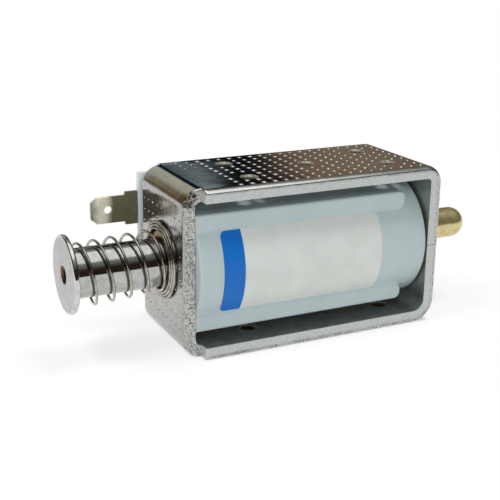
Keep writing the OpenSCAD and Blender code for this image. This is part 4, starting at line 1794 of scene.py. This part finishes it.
@dataclass
class Table:
    """White table top. Beyond the frame's outline it glows where it is seen, less close to the object.

    Args:
        reach: How far it goes to each side.
        colour: Hex colour of its paint.
        edge: Where the glow starts and where it has its first level, in sizes of the frame.
        near_level: That level, which leaves the rest to the shadow.
        far: Where the glow grows again and where it is full, in sizes of the frame.
    """

    reach: float = 3000.0
    colour: str = "#f4f4f4"
    edge: Point2 = (0.9, 1.0)
    near_level: float = 0.75
    far: Point2 = (2.0, 8.0)

    def build(self) -> None:
        """Makes the table, which keeps the object's shadow."""
        r = self.reach
        shell = Shell()
        shell.add([(-r, -r, 0), (r, -r, 0), (r, r, 0), (-r, r, 0)], [(0, 1, 2, 3)])
        table = place("studio_floor", shell)
        material = bpy.data.materials.new("white_table")
        material.use_nodes = True
        tree = material.node_tree
        shader = tree.nodes["Principled BSDF"]
        shader.inputs["Base Color"].default_value = linear(self.colour)
        shader.inputs["Roughness"].default_value = 0.9
        shader.inputs["Specular IOR Level"].default_value = 0.0
        glow = add_node(tree, "ShaderNodeEmission", {"Color": (1, 1, 1, 1), "Strength": 1.0})
        sizes = add_node(tree, "ShaderNodeVectorMath", {
            0: add_node(tree, "ShaderNodeTexCoord").outputs["Object"],
            1: (1 / (FRAME_BOX.hi[0] * MM), 1 / (FRAME_BOX.hi[1] * MM), 1 / MM),
        }, operation="MULTIPLY")
        away = add_node(tree, "ShaderNodeVectorMath", {0: sizes.outputs[0]}, operation="ABSOLUTE")
        sides = add_node(tree, "ShaderNodeSeparateXYZ", {0: away.outputs[0]})
        outside = add_node(
            tree, "ShaderNodeMath", {0: sides.outputs[0], 1: sides.outputs[1]}, operation="MAXIMUM"
        )
        near_glow, far_glow = (
            add_node(
                tree, "ShaderNodeMapRange",
                {"Value": outside.outputs[0], "From Min": start, "From Max": end, "To Max": level},
            )
            for (start, end), level in ((self.edge, self.near_level), (self.far, 1 - self.near_level))
        )
        level = add_node(
            tree, "ShaderNodeMath", {0: near_glow.outputs[0], 1: far_glow.outputs[0]}, operation="ADD"
        )
        share = add_node(tree, "ShaderNodeMath", {0: seen(tree), 1: level.outputs[0]}, operation="MULTIPLY")
        mixed = add_node(
            tree, "ShaderNodeMixShader", {0: share.outputs[0], 1: shader.outputs[0], 2: glow.outputs[0]}
        )
        tree.links.new(mixed.outputs[0], tree.nodes["Material Output"].inputs["Surface"])
        table.data.materials.append(material)


@dataclass
class Room:
    """Painted walls and a bright ceiling, which only polished pieces see.

    Heights go from 0 at the floor to 1 overhead, and headings from +Y towards +X.

    Args:
        radius: Radius of the dome that carries the paint.
        rows: Its steps from the floor to overhead.
        columns: Its steps round.
        front: Height and hex colour of each stretch before the object.
        back: The same behind it, above the wall.
        wall: Heading and hex colour of each stretch of that wall, from a brown corner over the pale wall,
            a black doorway, its pale frame and the black beyond it, to a brown curtain.
        wall_deg: Headings that the wall's paint spans.
        wall_top: Height at which the wall ends, and from which on down it is full.
        lean_at: Elevations between which the wall's stretches lean.
        lean_deg: Turn of the heading at each of them.
        behind: Share of a direction that points back, where the back starts and where it is full.
        ceiling: Height at which the ceiling starts, and at which it is brightest.
        ceiling_level: Its brightness there.
    """

    radius: float = 1500.0
    rows: int = 12
    columns: int = 48
    front: tuple[tuple[float, str], ...] = (
        (0.0, "#2e241c"), (0.3, "#3b2e24"), (0.42, "#6d6c68"), (0.6, "#9a9d98"), (0.68, "#ffffff"),
    )
    back: tuple[tuple[float, str], ...] = (
        (0.0, "#4b3f36"), (0.25, "#3c342e"), (0.4, "#6f736c"), (0.66, "#92968f"), (0.75, "#ffffff"),
    )
    wall: tuple[tuple[float, str], ...] = (
        (-45, "#4c3a26"), (-27, "#6e5130"), (-22, "#8e8873"), (-16, "#b4b3a3"), (6.5, "#bdbdaf"),
        (9.5, "#8f9391"), (11.5, "#141c28"), (19.5, "#10161f"), (20.2, "#7f8d92"), (21.3, "#8f9ba0"),
        (22.0, "#0c0f14"), (26.6, "#101319"), (28.2, "#7b6452"), (33.5, "#857565"), (38, "#6f5d50"),
    )
    wall_deg: Point2 = (-45.0, 45.0)
    wall_top: Point2 = (0.5, 0.42)
    lean_at: Point2 = (12.9, 16.5)
    lean_deg: Point2 = (1.0, -2.25)
    behind: Point2 = (-0.1, 0.2)
    ceiling: Point2 = (0.6, 0.7)
    ceiling_level: float = 1.35

    def dome(self) -> Shell:
        """Half a ball over the table."""
        rise, columns = 1.0, self.columns
        points = []
        for i in range(self.rows + 1):
            e = math.radians(90 * i / self.rows)
            out, z = self.radius * math.cos(e), rise + self.radius * math.sin(e)
            for k in range(columns):
                a = 2 * math.pi * k / columns
                points.append((out * math.sin(a), out * math.cos(a), z))
        faces = [
            (a + k, a + (k + 1) % columns, a + columns + (k + 1) % columns, a + columns + k)
            for a in range(0, self.rows * columns, columns) for k in range(columns)
        ]
        shell = Shell()
        shell.add(points, faces)
        return shell

    def paint(self, ramp: bpy.types.Node, stops: Sequence[tuple[float, str]]) -> None:
        """Sets the stops of a colour ramp.

        Args:
            ramp: The ramp's node.
            stops: Place from 0 to 1 and hex colour of each stop, in order.
        """
        elements = ramp.color_ramp.elements
        while len(elements) < len(stops):
            elements.new(0.5)
        for element, (position, colour) in zip(elements, stops):
            element.position = position
            element.color = linear(colour)

    def wall_colour(self, tree: bpy.types.NodeTree, ray: bpy.types.Node, up: Socket) -> Socket:
        """Lays the wall's stretches out by heading, with a lean that changes with the elevation.

        Args:
            tree: The node tree.
            ray: The node that splits the direction from the object into X, Y and Z.
            up: Its elevation.

        Returns:
            The socket that carries the colour.
        """
        heading = add_node(
            tree, "ShaderNodeMath", {0: ray.outputs[0], 1: ray.outputs[1]}, operation="ARCTAN2"
        )
        low_up, high_up = (math.radians(v) for v in self.lean_at)
        low_turn, high_turn = (math.radians(v) for v in self.lean_deg)
        lean = add_node(
            tree, "ShaderNodeMapRange",
            {"Value": up, "From Min": low_up, "From Max": high_up, "To Min": low_turn, "To Max": high_turn},
        )
        leaning = add_node(
            tree, "ShaderNodeMath", {0: heading.outputs[0], 1: lean.outputs[0]}, operation="ADD"
        )
        low, high = self.wall_deg
        along = add_node(
            tree, "ShaderNodeMapRange",
            {"Value": leaning.outputs[0], "From Min": math.radians(low), "From Max": math.radians(high)},
        )
        ramp = add_node(tree, "ShaderNodeValToRGB", {0: along.outputs[0]})
        self.paint(ramp, [((heading_deg - low) / (high - low), colour) for heading_deg, colour in self.wall])
        return ramp.outputs[0]

    def build(self) -> None:
        """Makes the room, which the camera and all but glossy rays pass through."""
        room = place("studio_room", self.dome())
        material = bpy.data.materials.new("painted_room")
        material.use_nodes = True
        tree = material.node_tree
        tree.nodes.remove(tree.nodes["Principled BSDF"])
        spot = add_node(tree, "ShaderNodeTexCoord").outputs["Object"]
        unit = add_node(tree, "ShaderNodeVectorMath", {0: spot}, operation="NORMALIZE")
        ray = add_node(tree, "ShaderNodeSeparateXYZ", {0: unit.outputs[0]})
        up = add_node(tree, "ShaderNodeMath", {0: ray.outputs[2]}, operation="ARCSINE").outputs[0]
        height = add_node(tree, "ShaderNodeMapRange", {"Value": up, "From Max": math.pi / 2}).outputs[0]
        front = add_node(tree, "ShaderNodeValToRGB", {0: height})
        self.paint(front, self.front)
        back = add_node(tree, "ShaderNodeValToRGB", {0: height})
        self.paint(back, self.back)
        below, behind = (
            add_node(tree, "ShaderNodeMapRange", {"Value": value, "From Min": start, "From Max": end})
            for value, (start, end) in ((height, self.wall_top), (ray.outputs[1], self.behind))
        )
        band = add_node(
            tree, "ShaderNodeMix",
            {0: below.outputs[0], 6: back.outputs[0], 7: self.wall_colour(tree, ray, up)}, data_type="RGBA",
        )
        colour = add_node(
            tree, "ShaderNodeMix", {0: behind.outputs[0], 6: front.outputs[0], 7: band.outputs[2]},
            data_type="RGBA",
        )
        level = add_node(
            tree, "ShaderNodeMapRange",
            {
                "Value": height, "From Min": self.ceiling[0], "From Max": self.ceiling[1],
                "To Min": 1.0, "To Max": self.ceiling_level,
            },
        )
        glow = add_node(
            tree, "ShaderNodeEmission", {"Color": colour.outputs[2], "Strength": level.outputs[0]}
        )
        tree.links.new(glow.outputs[0], tree.nodes["Material Output"].inputs["Surface"])
        room.data.materials.append(material)
        room.visible_camera = room.visible_diffuse = room.visible_shadow = room.visible_transmission = False


@dataclass(frozen=True)
class Lamp:
    """A square lamp that faces the middle of the object, and that polished pieces don't mirror.

    Args:
        name: Its name.
        place_m: Where it hangs, in metres.
        size_m: Its side, in metres.
        watts: Its power.
        colour: Hex colour of its light.
    """

    name: str
    place_m: Point3
    size_m: float
    watts: float
    colour: str

    def build(self) -> None:
        """Hangs the lamp."""
        data = bpy.data.lights.new(self.name, "AREA")
        data.shape = "SQUARE"
        data.size = self.size_m
        data.energy = self.watts
        data.color = linear(self.colour)[:3]
        lamp = bpy.data.objects.new(self.name, data)
        aim = Vector((X_ENTRY + X_POLE, 0.0, AXIS_Z * 2)) * 0.5 * MM
        lamp.location = self.place_m
        lamp.rotation_euler = (aim - Vector(self.place_m)).to_track_quat("-Z", "Y").to_euler()
        lamp.visible_glossy = False
        bpy.context.scene.collection.objects.link(lamp)


@dataclass
class Studio:
    """White table, two overhead lamps, a soft front light, a painted room for the metal, and a camera.

    Args:
        sky: Hex colour of the light from all round.
        sky_level: Strength of that light, where it isn't seen.
        lamps: The lamps.
    """

    sky: str = "#e6e8e8"
    sky_level: float = 0.37
    lamps: tuple[Lamp, ...] = (
        Lamp("overhead_rear", (0.25, 0.0, 0.97), 0.3, 4.4, "#fffdf9"),
        Lamp("overhead_front", (-0.54, 0.0, 0.86), 0.3, 3.8, "#fffdf9"),
        Lamp("front_soft", (-0.35, -0.9, 0.45), 0.7, 5.8, "#fafcff"),
    )

    def world(self) -> None:
        """White where it is seen, and a plain soft level where it only lights."""
        world = bpy.data.worlds.new("studio")
        bpy.context.scene.world = world
        world.use_nodes = True
        tree = world.node_tree
        background = tree.nodes["Background"]
        colour = add_node(
            tree, "ShaderNodeMix", {0: seen(tree), 6: linear(self.sky), 7: (1, 1, 1, 1)}, data_type="RGBA"
        )
        tree.links.new(colour.outputs[2], background.inputs["Color"])
        level = add_node(
            tree, "ShaderNodeMapRange", {"Value": seen(tree), "To Min": self.sky_level, "To Max": 1.0}
        )
        tree.links.new(level.outputs[0], background.inputs["Strength"])

    def build(self) -> None:
        """Sets up everything round the object."""
        bpy.context.scene.view_settings.view_transform = "Standard"
        self.world()
        for part in (View(), Table(), Room(), *self.lamps):
            part.build()


def main() -> None:
    """Builds the studio and every piece in order."""
    logging.basicConfig(level=logging.INFO, format="%(name)s %(message)s")
    noise.seed_set(NOISE_SEED)
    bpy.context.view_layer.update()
    Studio().build()
    builders = (
        BoxFrame(), CoilCover(), GuideTube(), PolePiece(), Plunger(), SpringDisc(), PushTip(), ReturnSpring(),
        Blade("upper_terminal"), Blade("lower_terminal"), KeptPieces(),
    )
    for builder in builders:
        builder.build()


if __name__ == "__main__":
    main()
